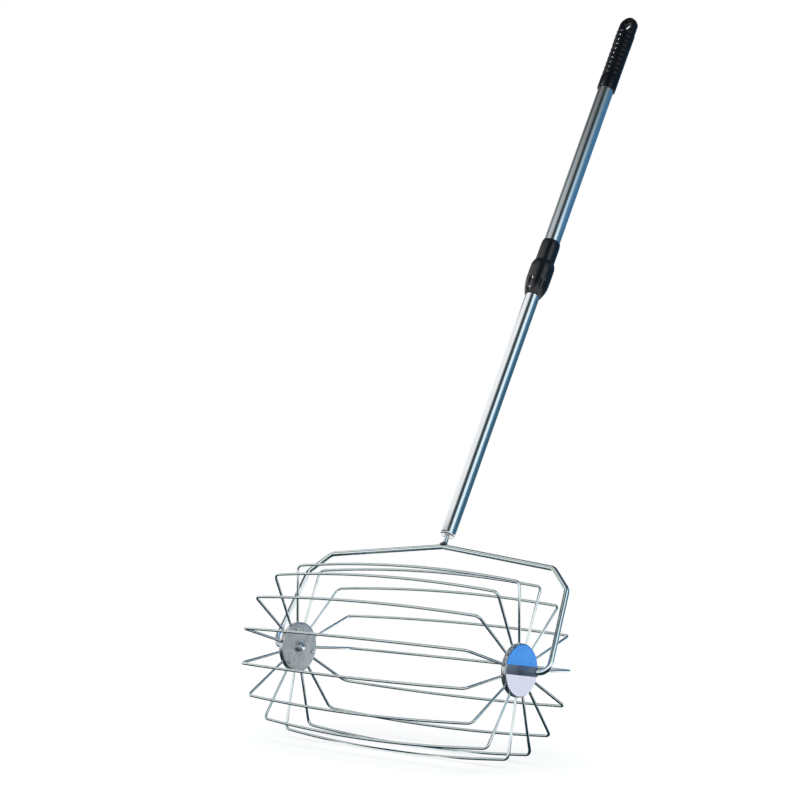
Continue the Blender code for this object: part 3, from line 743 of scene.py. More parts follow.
def bent_rod(name: str, start: Pair, heading: float,
             moves: Iterable[Union[Run, Bend]], radius: float, sides: int) -> Piece:
    """Draw a round rod through its runs and bends, as a bending bench would.

    Args:
        name: The new object's name.
        start: (x, z) of the rod's first end.
        heading: The way that it leaves, from X towards Z.
        moves: The runs and bends in order.
        radius: The rod's radius.
        sides: How many sides its section has.

    Returns:
        The object, in object mode.
    """
    item = first_ring(name, sides, radius)
    spot = Vector((start[0], 0.0, start[1]))
    turn = Matrix.Rotation(math.pi / 2 - heading, 4, "Y")
    item.data.transform(Matrix.Translation(spot) @ turn)
    open_mesh(item)
    for move in moves:
        way = Vector((math.cos(heading), 0.0, math.sin(heading)))
        if isinstance(move, Run):
            bpy.ops.mesh.extrude_region_move(
                TRANSFORM_OT_translate={"value": way * move.length},
            )
            spot += way * move.length
            continue
        hand = math.copysign(1.0, move.angle)
        centre = spot + Vector((-way.z, 0.0, way.x)) * (hand * move.radius)
        steps = max(4, math.ceil(abs(move.angle) / BEND_STEP))
        if move.radius > BOW_RADIUS:
            steps = BOW_STEPS
        bpy.ops.mesh.spin(steps=steps, angle=abs(move.angle), center=centre, axis=(0.0, hand, 0.0))
        spot = centre + Matrix.Rotation(-move.angle, 3, "Y") @ (spot - centre)
        heading += move.angle
    close_up()
    return item


def put(item: Piece, matrix: Matrix) -> Piece:
    """Bake a place into a piece's mesh, and turn it right side out if that mirrored it.

    Args:
        item: The piece.
        matrix: The place.

    Returns:
        The same piece.
    """
    clear_selection()
    item.data.transform(matrix)
    if matrix.determinant() < 0.0:
        open_mesh(item)
        face_out()
    item.data.update()
    return item


def copied(item: Piece, name: str, matrix: Matrix) -> Piece:
    """Copy a piece with its own mesh, and put it in another place.

    Args:
        item: The piece to copy.
        name: The copy's name.
        matrix: The copy's place.

    Returns:
        The copy.
    """
    twin = item.copy()
    twin.data = item.data.copy()
    twin.name = name
    bpy.context.scene.collection.objects.link(twin)
    return put(twin, matrix)


def coat(item: Piece, finish: Finish) -> None:
    """Give an object one finish all over."""
    item.data.materials.clear()
    item.data.materials.append(finish.material())


def hand_over(item: Piece, finish: Finish, slot: Slot, body: str, *nodes: str) -> Piece:
    """Finish a new piece: its smooth sides, material, body and what it stands for.

    Args:
        item: The piece, with its place in its mesh.
        finish: Its surface finish.
        slot: The record's slot for that finish; not used.
        body: The body that it rides on.
        nodes: The CAD nodes that it stands for.

    Returns:
        The piece.
    """
    coat(item, finish)
    select_only(item)
    bpy.ops.object.shade_smooth_by_angle(angle=SMOOTH_ANGLE)
    item.data.name = item.name
    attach(item, body)
    if nodes:
        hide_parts(*nodes)
    log.info("%s: %d faces on %s", item.name, len(item.data.polygons), body)
    return item


def repaint(node: str, finish: Finish) -> None:
    """Give a CAD node that stays its detailed finish."""
    coat(frame["nodes"][node], finish)
    log.info("%s keeps its solid", node)


def box_tool(centre: Vector, size: tuple[float, float, float], turn: Matrix) -> Piece:
    """Make a block to cut with, in the place that a turn takes it to.

    Args:
        centre: Its middle, before the turn.
        size: Its length along each axis.
        turn: The turn.

    Returns:
        The block.
    """
    clear_selection()
    bpy.ops.mesh.primitive_cube_add(size=1.0)
    matrix = Matrix.Translation(centre) @ Matrix.Diagonal((*size, 1.0))
    return put(bpy.context.object, turn @ matrix)


def drill(radius: float, length: float, sides: int, matrix: Matrix) -> Piece:
    """Make a round tool to cut with, in its place.

    Args:
        radius: Its radius.
        length: Its length.
        sides: How many sides it has.
        matrix: Its place.

    Returns:
        The tool.
    """
    clear_selection()
    bpy.ops.mesh.primitive_cylinder_add(vertices=sides, radius=radius, depth=length)
    return put(bpy.context.object, matrix)


def joined(items: Sequence[Piece]) -> Piece:
    """Join several objects into the first.

    Args:
        items: The objects.

    Returns:
        The first, which holds all the meshes.
    """
    clear_selection()
    for item in items:
        item.select_set(True)
    bpy.context.view_layer.objects.active = items[0]
    bpy.ops.object.join()
    return items[0]


def levels(low: float, high: float, count: int) -> list[float]:
    """The heights of evenly spaced rings from low to high, with count steps between."""
    return [low + (high - low) * step / count for step in range(count + 1)]


def turns(count: int, first: float = 0.0) -> list[Matrix]:
    """The turns of things that are evenly spread round local Z."""
    return [Matrix.Rotation(first + math.tau * number / count, 4, "Z") for number in range(count)]


# Sub-assemblies


@dataclass
class Cage:
    """The turning basket's wires."""

    wires: int = 15
    wire_radius: float = 0.002
    half_length: float = 0.205
    corner_radius: float = 0.120
    bow: float = 0.0105
    bend_radius: float = 0.008
    wire_end: float = 0.0225
    sides: int = 16

    def wire(self) -> Piece:
        """Draw the top wire about the axle: spoke, corner, bowed bar, corner, spoke.

        Returns:
            The wire, with the axle along X.
        """
        bow_radius = (self.half_length ** 2 + self.bow ** 2) / (2 * self.bow)
        bow_centre = self.corner_radius + self.bow - bow_radius
        inset = self.half_length - self.bend_radius
        reach = bow_radius - self.bend_radius
        bend_height = bow_centre + math.sqrt(reach ** 2 - inset ** 2)
        slope = math.asin(inset / reach)
        spoke = Run(bend_height - self.wire_end)
        corner = Bend(self.bend_radius, slope - math.pi / 2)
        moves = [spoke, corner, Bend(bow_radius, -2 * slope), corner, spoke]
        start = (-self.half_length, self.wire_end)
        wire = bent_rod("wire_pattern", start, math.pi / 2, moves, self.wire_radius, self.sides)
        soften(wire, 0.0004, angle=60.0)
        return wire

    def build(self) -> None:
        """Make the wires, evenly spread round the axle with the first at the top."""
        pattern = self.wire()
        for number in range(self.wires):
            turn = Matrix.Rotation(-number * math.tau / self.wires, 4, "X")
            label = f"{number + 1:02d}"
            wire = copied(pattern, f"basket_wire_{label}", ON_AXLE @ turn)
            hand_over(wire, WIRE_STEEL, Slot.WIRE, "cage", f"cage_wire_{label}")
        bpy.data.objects.remove(pattern, do_unlink=True)


@dataclass
class Hub:
    """The disc, badge, bush and rivets at both ends of the cage, and the axle's fittings."""

    radius: float = 0.0365
    inner: float = 0.2027
    outer: float = 0.2083
    bore: float = 0.0058
    channel: float = 0.0046
    channel_start: float = 0.0222
    overcut: float = 0.002
    channels: int = 15
    cover_inner: float = 0.2009
    cover_outer: float = 0.2024
    badge_radius: float = 0.0355
    badge_inner: float = 0.2086
    badge_outer: float = 0.2094
    rivet_circle: float = 0.029
    rivets: int = 3
    bush_bore: float = 0.0043
    bush_radius: float = 0.0055
    collar_radius: float = 0.0068
    collar_length: float = 0.025
    rod_radius: float = 0.004
    rivet_shank: float = 0.0016
    rivet_hole: float = 0.0019
    rivet_head: float = 0.0012
    washer_radius: float = 0.008
    washer_thick: float = 0.001
    clip_radius: float = 0.00675
    clip_length: float = 0.004
    clip_wall: float = 0.0012
    slits: int = 6
    slit_out: float = 0.0052
    slit_size: tuple[float, float, float] = (0.0030, 0.0007, 0.0016)

    def place(self, side: Side) -> Matrix:
        """Find the place of one end's pieces.

        Args:
            side: The end.

        Returns:
            The place, whose local Z points out along the axle and local X up.
        """
        frame_at_right = Matrix(((0, 0, 1, 0), (0, -1, 0, 0), (1, 0, 0, 0), (0, 0, 0, 1)))
        mirror = Matrix.Scale(side.value, 4, ACROSS)
        return ON_AXLE @ mirror @ frame_at_right

    def disc(self) -> Piece:
        """Make the hub's body, with a lipped face and a channel for each wire.

        Returns:
            The pattern, about local Z.
        """
        rim, face = self.radius, self.outer
        disc = turned("disc_pattern", [
            (self.bore, self.inner), (rim - 0.0004, self.inner), (rim, self.inner + 0.0004),
            (rim, face - 0.0008), (rim - 0.0003, face - 0.0002), (rim - 0.0009, face),
            (self.bore + 0.0003, face), (self.bore, face - 0.0003),
        ], 180, ring=True)
        length = self.radius + self.overcut - self.channel_start
        depth = 2 * self.channel
        height = self.inner + self.channel - depth / 2
        centre = Vector((self.channel_start + length / 2, 0.0, height))
        size = (length, self.channel, depth)
        carve(disc, joined([box_tool(centre, size, turn) for turn in turns(self.channels)]))
        soften(disc, 0.0002, angle=50.0)
        return disc

    def cover(self) -> Piece:
        """Make the pressed plate that closes the channels inside the cage.

        Returns:
            The pattern, about local Z.
        """
        low, high, rim = self.cover_inner, self.cover_outer, self.radius
        cover = turned("cover_pattern", [
            (self.bore, high), (self.bore, low), (0.0100, low), (0.0104, low + 0.0004),
            (0.0126, low + 0.0004), (0.0130, low), (rim - 0.0030, low),
            (rim - 0.0008, low + 0.0002), (rim, low + 0.0008), (rim, high),
        ], 120, ring=True)
        carve(cover, joined([
            drill(self.rivet_hole, 5 * self.overcut, 32, Matrix.Translation((*spot, high)))
            for spot in self.rivet_spots()
        ]))
        return cover

    def rivet_spots(self) -> list[Pair]:
        """Work out where the rivets stand on their circle.

        Returns:
            (x, y) of each rivet.
        """
        first = math.pi / self.channels
        angles = [first + math.tau * number / self.rivets for number in range(self.rivets)]
        return [(self.rivet_circle * math.cos(a), self.rivet_circle * math.sin(a)) for a in angles]

    def rivet(self) -> Piece:
        """Make a rivet with a low domed head.

        Returns:
            The pattern, about local Z.
        """
        low = self.cover_inner - GAP - self.rivet_head
        shank, seat = self.rivet_shank, low + self.rivet_head
        return turned("rivet_pattern", [
            (0.0005, low), (0.0016, low + 0.00008), (0.0024, low + 0.0003),
            (0.0029, low + 0.0007), (0.0030, seat), (shank, seat), (shank, self.outer),
        ], 32)

    def badge(self) -> Piece:
        """Make the round plate on the hub's face, with a rolled edge.

        Returns:
            The pattern, about local Z.
        """
        low, high, rim = self.badge_inner, self.badge_outer, self.badge_radius
        return turned("badge_pattern", [
            (self.bore, low), (rim - 0.0003, low), (rim, low + 0.0003),
            (rim - 0.0001, high - 0.0002), (rim - 0.0005, high), (rim - 0.0006, high),
            (rim - 0.0007, high), (self.bore + 0.0007, high), (self.bore + 0.0006, high),
            (self.bore + 0.0005, high), (self.bore, high - 0.0003),
        ], 180, ring=True)

    def bush(self) -> Piece:
        """Make the flanged bush that turns on the yoke's rod.

        Returns:
            The pattern, about local Z.
        """
        low = self.badge_outer + GAP
        high = low + self.collar_length
        wide = self.collar_radius
        return turned("bush_pattern", [
            (self.bush_bore, self.cover_inner), (self.bush_radius, self.cover_inner),
            (self.bush_radius, low), (wide - 0.0003, low), (wide, low + 0.0003),
            (wide, low + 0.0030), (wide - 0.0004, low + 0.0034), (wide - 0.0004, low + 0.0042),
            (wide, low + 0.0046), (wide, high - 0.0013), (wide - 0.0003, high - 0.0006),
            (wide - 0.0009, high), (self.bush_bore + 0.0003, high),
            (self.bush_bore, high - 0.0003),
        ], 72, ring=True)

    def washer(self) -> Piece:
        """Make the thrust washer inside the hub.

        Returns:
            The pattern, about local Z.
        """
        high = self.cover_inner - GAP
        low = high - self.washer_thick
        bore = self.rod_radius + GAP
        washer = turned("washer_pattern", [
            (bore, low), (self.washer_radius, low), (self.washer_radius, high), (bore, high),
        ], 64, ring=True)
        soften(washer, 0.0002)
        return washer

    def clip(self) -> Piece:
        """Make the push-on clip, a cap with spring teeth.

        Returns:
            The pattern, about local Z.
        """
        high = self.cover_inner - 2 * GAP - self.washer_thick
        low = high - self.clip_length
        bore, wide, wall = self.rod_radius + GAP, self.clip_radius, self.clip_wall
        clip = turned("clip_pattern", [
            (bore, low), (wide - wall, low), (wide - 0.0004, low + 0.0004),
            (wide, low + 0.0012), (wide, high), (wide - wall, high),
            (wide - wall, high - wall), (bore, high - wall),
        ], 72, ring=True)
        spot = Vector((self.slit_out, 0.0, low))
        carve(clip, joined([box_tool(spot, self.slit_size, turn) for turn in turns(self.slits)]))
        return clip

    def build(self) -> None:
        """Make both hubs from one set of patterns."""
        patterns = {
            "disc": (self.disc(), HUB_STEEL, Slot.HUB, "cage", "hub_body"),
            "cover": (self.cover(), COVER_STEEL, Slot.HUB, "cage", "hub_inner_plate"),
            "face_plate": (self.badge(), HUB_BADGE, Slot.BADGE, "cage", "hub_badge"),
            "axle_bush": (self.bush(), BUSH_SLATE, Slot.BUSH, "cage", "hub_bush"),
            "thrust_washer": (self.washer(), HUB_STEEL, Slot.HUB, "lower_pole", "axle_washer"),
            "push_clip": (self.clip(), HUB_STEEL, Slot.HUB, "lower_pole", "axle_clip"),
        }
        rivet = self.rivet()
        for side in Side:
            place = self.place(side)
            for name, (pattern, finish, slot, body, node) in patterns.items():
                piece = copied(pattern, f"{name}_{side.label}", place)
                hand_over(piece, finish, slot, body, f"{node}_{side.label}")
            for number, spot in enumerate(self.rivet_spots()):
                label = f"{side.label}_{number + 1}"
                piece = copied(rivet, f"rivet_{label}", place @ Matrix.Translation((*spot, 0.0)))
                hand_over(piece, HUB_STEEL, Slot.HUB, "cage", f"hub_rivet_{label}")
        for pattern in [rivet] + [entry[0] for entry in patterns.values()]:
            bpy.data.objects.remove(pattern, do_unlink=True)


@dataclass
class Yoke:
    """The bent rod that carries the cage, and the stud that is welded on its peak."""

    rod_radius: float = 0.004
    corners: tuple[Pair, ...] = (
        (0.1933, 0.0), (0.254, 0.0), (0.2395, 0.123), (0.206, 0.1535), (0.0, 0.1765),
    )
    bend_radius: float = 0.014
    peak_radius: float = 0.030
    sides: int = 32
    stud_radius: float = 0.00375
    plug_bottom: float = 0.194
    stud_thread: float = 0.022
    ripples: int = 16
    ripple_half: float = math.radians(6.5)
    ripple_reach: Pair = (-0.0020, 0.0026)
    ripple_share: float = 0.955

    def build(self) -> None:
        """Make the rod, the stud and its weld."""
        half = list(self.corners)
        mirrored = [(-x, z) for x, z in reversed(half[:-1])]
        bends = [self.bend_radius] * (len(half) - 2)
        heading, moves = moves_through(half + mirrored, bends + [self.peak_radius] + bends)
        rod = bent_rod("yoke_rod", half[0], heading, moves, self.rod_radius, self.sides)
        soften(rod, 0.0006, 3, 60.0)
        hand_over(put(rod, ON_POLE), YOKE_STEEL, Slot.WIRE, "lower_pole", "yoke")

        peak = self.corners[-1][1] + self.rod_radius
        radius = self.stud_radius
        stud = turned("neck_stud_turned", [
            (0.0030, peak - 0.0024), (0.0058, peak - 0.0026), (0.0068, peak - 0.0014),
            (0.0063, peak - 0.0004), (0.0049, peak + 0.0008), (0.0042, peak + 0.0019),
            (0.0039, peak + 0.0032), (radius, peak + 0.0046),
            (radius, self.plug_bottom - 0.0008), (radius - 0.0003, self.plug_bottom - 0.0004),
            (radius, self.plug_bottom), (radius, self.plug_bottom + self.stud_thread),
        ], 64)
        self.ripple(stud, peak)
        hand_over(put(stud, ON_POLE), WELD_STEEL, Slot.WIRE, "lower_pole", "neck_stud")

    def ripple(self, stud: Piece, peak: float) -> None:
        """Press the weld's ripples into the stud's foot.

        Args:
            stud: The turned stud.
            peak: The height of the yoke's upper side.
        """
        low, high = (peak + reach for reach in self.ripple_reach)
        share = self.ripple_share
        open_mesh(stud)
        for number in range(self.ripples):
            middle = math.tau * number / self.ripples

            def in_ripple(spot: Vector, middle: float = middle) -> bool:
                """Whether a place lies in one hollow of the bead."""
                off = math.remainder(math.atan2(spot.y, spot.x) - middle, math.tau)
                return low < spot.z < high and abs(off) < self.ripple_half

            if pick(stud, in_ripple):
                bpy.ops.transform.resize(value=(share, share, 1.0), center_override=(0, 0, peak))
        bpy.ops.object.mode_set(mode="OBJECT")


@dataclass
class Pole:
    """The two tubes and the lower tube's end plugs."""

    lower_radius: float = 0.011
    upper_radius: float = 0.0125
    wall: float = 0.0008
    lower_bottom: float = 0.1958
    lower_top: float = 0.6928
    upper_bottom: float = 0.6658
    upper_top: float = 1.0928
    plug_bottom: float = 0.194
    plug_rim: float = 0.0015
    plug_length: float = 0.026
    stud_radius: float = 0.00375
    lower_rows: int = 12
    upper_rows: int = 10
    groove: tuple[Pair, ...] = (
        (-0.0012, 0.0), (-0.0006, 0.00028), (0.0, 0.0004), (0.0006, 0.00028), (0.0012, 0.0),
    )

    def build(self) -> None:
        """Make both tubes and the plug."""
        self.lower_tube()
        self.upper_tube()
        self.plug()
        repaint("guide_plug", SLIDE_NYLON)

    def lower_tube(self) -> None:
        """The inner tube, with its bottom end rolled in a little."""
        outer, low, high = self.lower_radius, self.lower_bottom, self.lower_top
        bore = outer - self.wall
        heights = levels(low + 0.003, high - 0.003, self.lower_rows)
        tube = turned("inner_tube", [
            (bore, low), (outer - 0.0004, low), (outer - 0.0001, low + 0.0004),
            (outer, low + 0.0012), *[(outer, height) for height in heights],
            (outer, high - 0.0004), (outer - 0.0002, high), (bore, high),
        ], 96, ring=True)
        hand_over(put(tube, ON_POLE), TUBE_STEEL, Slot.TUBE, "lower_pole", "lower_tube")

    def upper_tube(self) -> None:
        """The outer tube, with the rolled groove that stops the guide plug."""
        outer, low, high = self.upper_radius, self.upper_bottom, self.upper_top
        bore = outer - self.wall
        middle = self.lower_top - 0.0012
        heights = levels(middle + 0.004, high - 0.002, self.upper_rows)
        tube = turned("outer_tube", [
            (bore, low), (outer - 0.0002, low), (outer, low + 0.0003),
            *[(outer - depth, middle + step) for step, depth in self.groove],
            *[(outer, height) for height in heights],
            (outer, high), (bore, high),
            *[(bore - depth, middle + step) for step, depth in reversed(self.groove)],
        ], 96, ring=True)
        hand_over(put(tube, ON_POLE), TUBE_STEEL, Slot.TUBE, "handle", "upper_tube")

    def plug(self) -> None:
        """The plug in the lower tube's end, with its thin rim."""
        low, rim = self.plug_bottom, self.lower_radius - GAP
        step, high = low + self.plug_rim, low + self.plug_length
        core, bore = self.lower_radius - self.wall - GAP, self.stud_radius + GAP
        plug = turned("end_plug", [
            (bore, low + 0.0004), (bore + 0.0004, low), (0.0064, low), (0.0068, low + 0.0003),
            (0.0088, low + 0.0003), (0.0092, low), (rim - 0.0004, low), (rim, low + 0.0004),
            (rim, step), (core, step), (core, high), (bore, high),
        ], 96, ring=True)
        hand_over(put(plug, ON_POLE), PLUG_STEEL, Slot.HUB, "lower_pole", "tube_plug")


@dataclass
class Lock:
    """The twist lock: a sleeve on the upper tube and a fluted collar below it."""

    tube_radius: float = 0.0125
    slide_bore: float = 0.0113
    sleeve_radius: float = 0.0148
    sleeve_top: float = 0.7018
    nose_length: float = 0.011
    nose_depth: float = 0.0015
    spigot_radius: float = 0.01475
    spigot_top: float = 0.6655
    spigot_bottom: float = 0.6315
    collar_radius: float = 0.0185
    collar_end: float = 0.0131
    end_bore: float = 0.0116
    collar_top: float = 0.6645
    collar_bottom: float = 0.605
    taper: float = 0.024
    ring_radius: float = 0.0131
    ring_top: float = 0.6312
    ring_bottom: float = 0.6222
    ring_travel: float = 0.0015
    flutes: int = 6
    flute_floor: float = 0.0156
    flute_radius: float = 0.007
    flute_top: float = 0.636
    flute_nose: float = 0.012
    flute_steps: int = 10
    flute_step: float = math.radians(9.6)
    overcut: float = 0.010
    flute_turn: float = math.radians(-25.0)

    def build(self) -> None:
        """Make the sleeve and the collar."""
        self.sleeve()
        self.collar()
        repaint("clamp_ring", SLIDE_NYLON)

    def sleeve(self) -> None:
        """The fixed sleeve with a rounded top and a spigot that the collar turns on."""
        wide, top, low = self.sleeve_radius, self.sleeve_top, self.spigot_bottom
        socket, spigot, foot = self.tube_radius + GAP, self.spigot_radius, self.spigot_top
        nose = []
        for step in range(9):
            angle = math.pi / 2 * step / 8
            radius = wide - self.nose_depth * (1 - math.cos(angle))
            nose.append((radius, top - self.nose_length * (1 - math.sin(angle))))
        sleeve = turned("sleeve_body", [
            (self.slide_bore, low + 0.0073), (self.slide_bore + 0.0010, low + 0.0073),
            (self.slide_bore + 0.0022, low), (spigot - 0.0009, low), (spigot, low + 0.0009),
            (spigot, foot - 0.0009), (wide, foot), (wide, foot + 0.010), (wide, foot + 0.020),
            *nose, (socket + 0.0002, top), (socket, top - 0.0002), (socket, foot),
            (self.slide_bore, foot),
        ], 128, ring=True)
        hand_over(put(sleeve, ON_POLE), BLACK_SATIN, Slot.BLACK, "handle", "lock_sleeve")

    def collar(self) -> None:
        """The collar that a hand turns, with round-nosed flutes in its tapered end."""
        wide, low, top = self.collar_radius, self.collar_bottom, self.collar_top
        end_bore, room = self.end_bore, self.ring_radius + GAP
        spigot_bore = self.spigot_radius + GAP
        floor = self.ring_bottom - self.ring_travel - GAP
        side = []
        for step in range(17):
            share = step / 16
            radius = self.collar_end + (wide - self.collar_end) * math.sin(share * math.pi / 2)
            side.append((radius, low + self.taper * share))
        side[0] = (self.collar_end, low + 0.0004)
        collar = turned("collar_body", [
            (end_bore, low + 0.0003), (end_bore + 0.0003, low), (self.collar_end - 0.0004, low),
            *side, (wide, low + 0.030), (wide, low + 0.036), (wide, low + 0.043),
            (wide, top - 0.0085), (wide - 0.0003, top - 0.0068), (wide - 0.0008, top - 0.0052),
            (wide - 0.0015, top - 0.0032), (wide - 0.0022, top - 0.0012),
            (spigot_bore + 0.0006, top - 0.0002), (spigot_bore + 0.0003, top),
            (spigot_bore, top - 0.0003), (spigot_bore, self.ring_top), (room, self.ring_top),
            (room, floor), (end_bore, floor),
        ], 144, ring=True)
        nose = [(self.flute_radius, low - self.overcut)]
        for step in range(self.flute_steps):
            angle = self.flute_step * step
            height = self.flute_top - self.flute_nose * (1 - math.sin(angle))
            nose.append((self.flute_radius * math.cos(angle), height))
        spot = Matrix.Translation((self.flute_floor + self.flute_radius, 0.0, 0.0))
        carve(collar, joined([
            put(turned("flute_tool", nose, 64), turn @ spot)
            for turn in turns(self.flutes, self.flute_turn)
        ]))
        soften(collar, 0.00035, angle=30.0)
        hand_over(put(collar, ON_POLE), BLACK_SATIN, Slot.BLACK, "twist_collar", "twist_collar")


@dataclass
class Grip:
    """The grip: cross ribs on its front and a flattened head with a hang hole."""

    tube_radius: float = 0.0125
    radius: float = 0.0148
    head_radius: float = 0.0151
    bottom: float = 0.9911
    top: float = 1.1330
    head_length: float = 0.0564
    socket_top: float = 1.0931
    ribs: int = 9
    pitch: float = 0.009
    ribs_start: float = 0.0265
    rib_depth: float = 0.0012
    row: float = 0.00075
    row_reach: float = 0.0003
    side_rows: int = 4
    inside_wall: float = 0.001
    end_steps: int = 7
    sweep: float = math.radians(80.0)
    sides: int = 128
    step_height: float = 0.0008
    dome_steps: int = 23
    flat_length: float = 0.0309
    web: float = 0.012
    hole_radius: float = 0.009
    hole_inset: float = 0.0169

    def build(self) -> None:
        """Make the grip."""
        grip = self.blank()
        self.press_ribs(grip)
        self.flatten(grip)
        hand_over(put(grip, ON_POLE), GRIP_BLACK, Slot.BLACK, "handle", "grip")

    def blank(self) -> Piece:
        """Turn the grip's body with a step up to its head and a round dome.

        Returns:
            The body.
        """
        head = self.top - self.head_length
        rows = int((self.ribs + 1) * self.pitch / self.row)
        first = self.bottom + self.ribs_start - self.pitch / 2
        heights = [first + self.row * row for row in range(rows + 1)]
        heights = sorted([self.bottom + 0.0012, *heights, head, head + self.step_height])
        rings = [(self.radius - 0.0010, self.bottom), (self.radius - 0.0003, self.bottom + 0.0004)]
        for height in heights:
            share = min(max((height - head) / self.step_height, 0.0), 1.0)
            rings.append((self.radius + (self.head_radius - self.radius) * share, height))
        wide = self.head_radius
        dome = self.top - wide
        rings.append((wide, dome - 0.004))
        for step in range(self.dome_steps):
            angle = math.pi / 2 * step / self.dome_steps
            rings.append((wide * math.cos(angle), dome + wide * math.sin(angle)))
        rings.append((0.0004, self.top))
        socket = self.tube_radius + GAP
        inside = [(0.0020, self.socket_top), (socket, self.socket_top), (socket, self.bottom)]
        return turned("grip_body", inside + rings, self.sides)

    def press_ribs(self, grip: Piece) -> None:
        """Press the grooves between the ribs into the grip's front.

        Args:
            grip: The turned body.
        """
        open_mesh(grip)
        first = self.bottom + self.ribs_start
        for groove in range(self.ribs + 1):
            middle = first + self.pitch * groove
            for row in range(-self.side_rows, self.side_rows + 1):
                height = middle + self.row * row
                swell = math.cos(math.pi * row / (self.side_rows + 1))
                depth = self.rib_depth * (0.5 + 0.5 * swell)
                for step in range(self.end_steps):
                    reach = self.sweep - math.radians(360.0 / self.sides * step)

                    def in_groove(spot: Vector, height: float = height,
                                  reach: float = reach) -> bool:
                        """Whether a place lies on this row of the groove."""
                        outside = math.hypot(spot.x, spot.y) > self.tube_radius + self.inside_wall
                        front = abs(math.atan2(spot.x, -spot.y)) < reach
                        return abs(spot.z - height) < self.row_reach and outside and front

                    if pick(grip, in_groove):
                        share = 1 - depth / self.end_steps / self.radius
                        bpy.ops.transform.resize(
                            value=(share, share, 1.0), center_override=(0.0, 0.0, middle),
                        )
        bpy.ops.object.mode_set(mode="OBJECT")

    def flatten(self, grip: Piece) -> None:
        """Cut the head's two flats and its hole, and round their edges.

        Args:
            grip: The body.
        """
        wide = 3 * self.head_radius
        carve(grip, joined([
            box_tool(Vector((0.0, face * (self.web / 2 + wide / 2), self.top)),
                     (wide, wide, 2 * self.flat_length), Matrix())
            for face in (-1, 1)
        ]))
        across = Matrix.Rotation(math.pi / 2, 4, "X")
        spot = Matrix.Translation((0.0, 0.0, self.top - self.hole_inset))
        carve(grip, drill(self.hole_radius, wide, 72, spot @ across))
        soften(grip, 0.0006, 3, 40.0)


# The studio


@dataclass(frozen=True)
class Card:
    """A plain card beside the pole, which only the object's gloss shows.

    Its angles go round the pole in degrees, from 0 on the camera's side to 90 on the
    picture's right. Its heights go along the pole, from the axle, and its distance is out
    from the pole. Its upper part is dimmer by a share.
    """

    name: str
    start: float
    end: float
    low: float
    high: float
    colour: Colour
    dimmer: float = 0.0
    distance: float = 1.5


def turn_to(across: Vector, up: Vector, facing: Vector) -> Matrix:
    """The turn that takes X, Y and Z to three directions."""
    return Matrix((across, up, facing)).transposed()


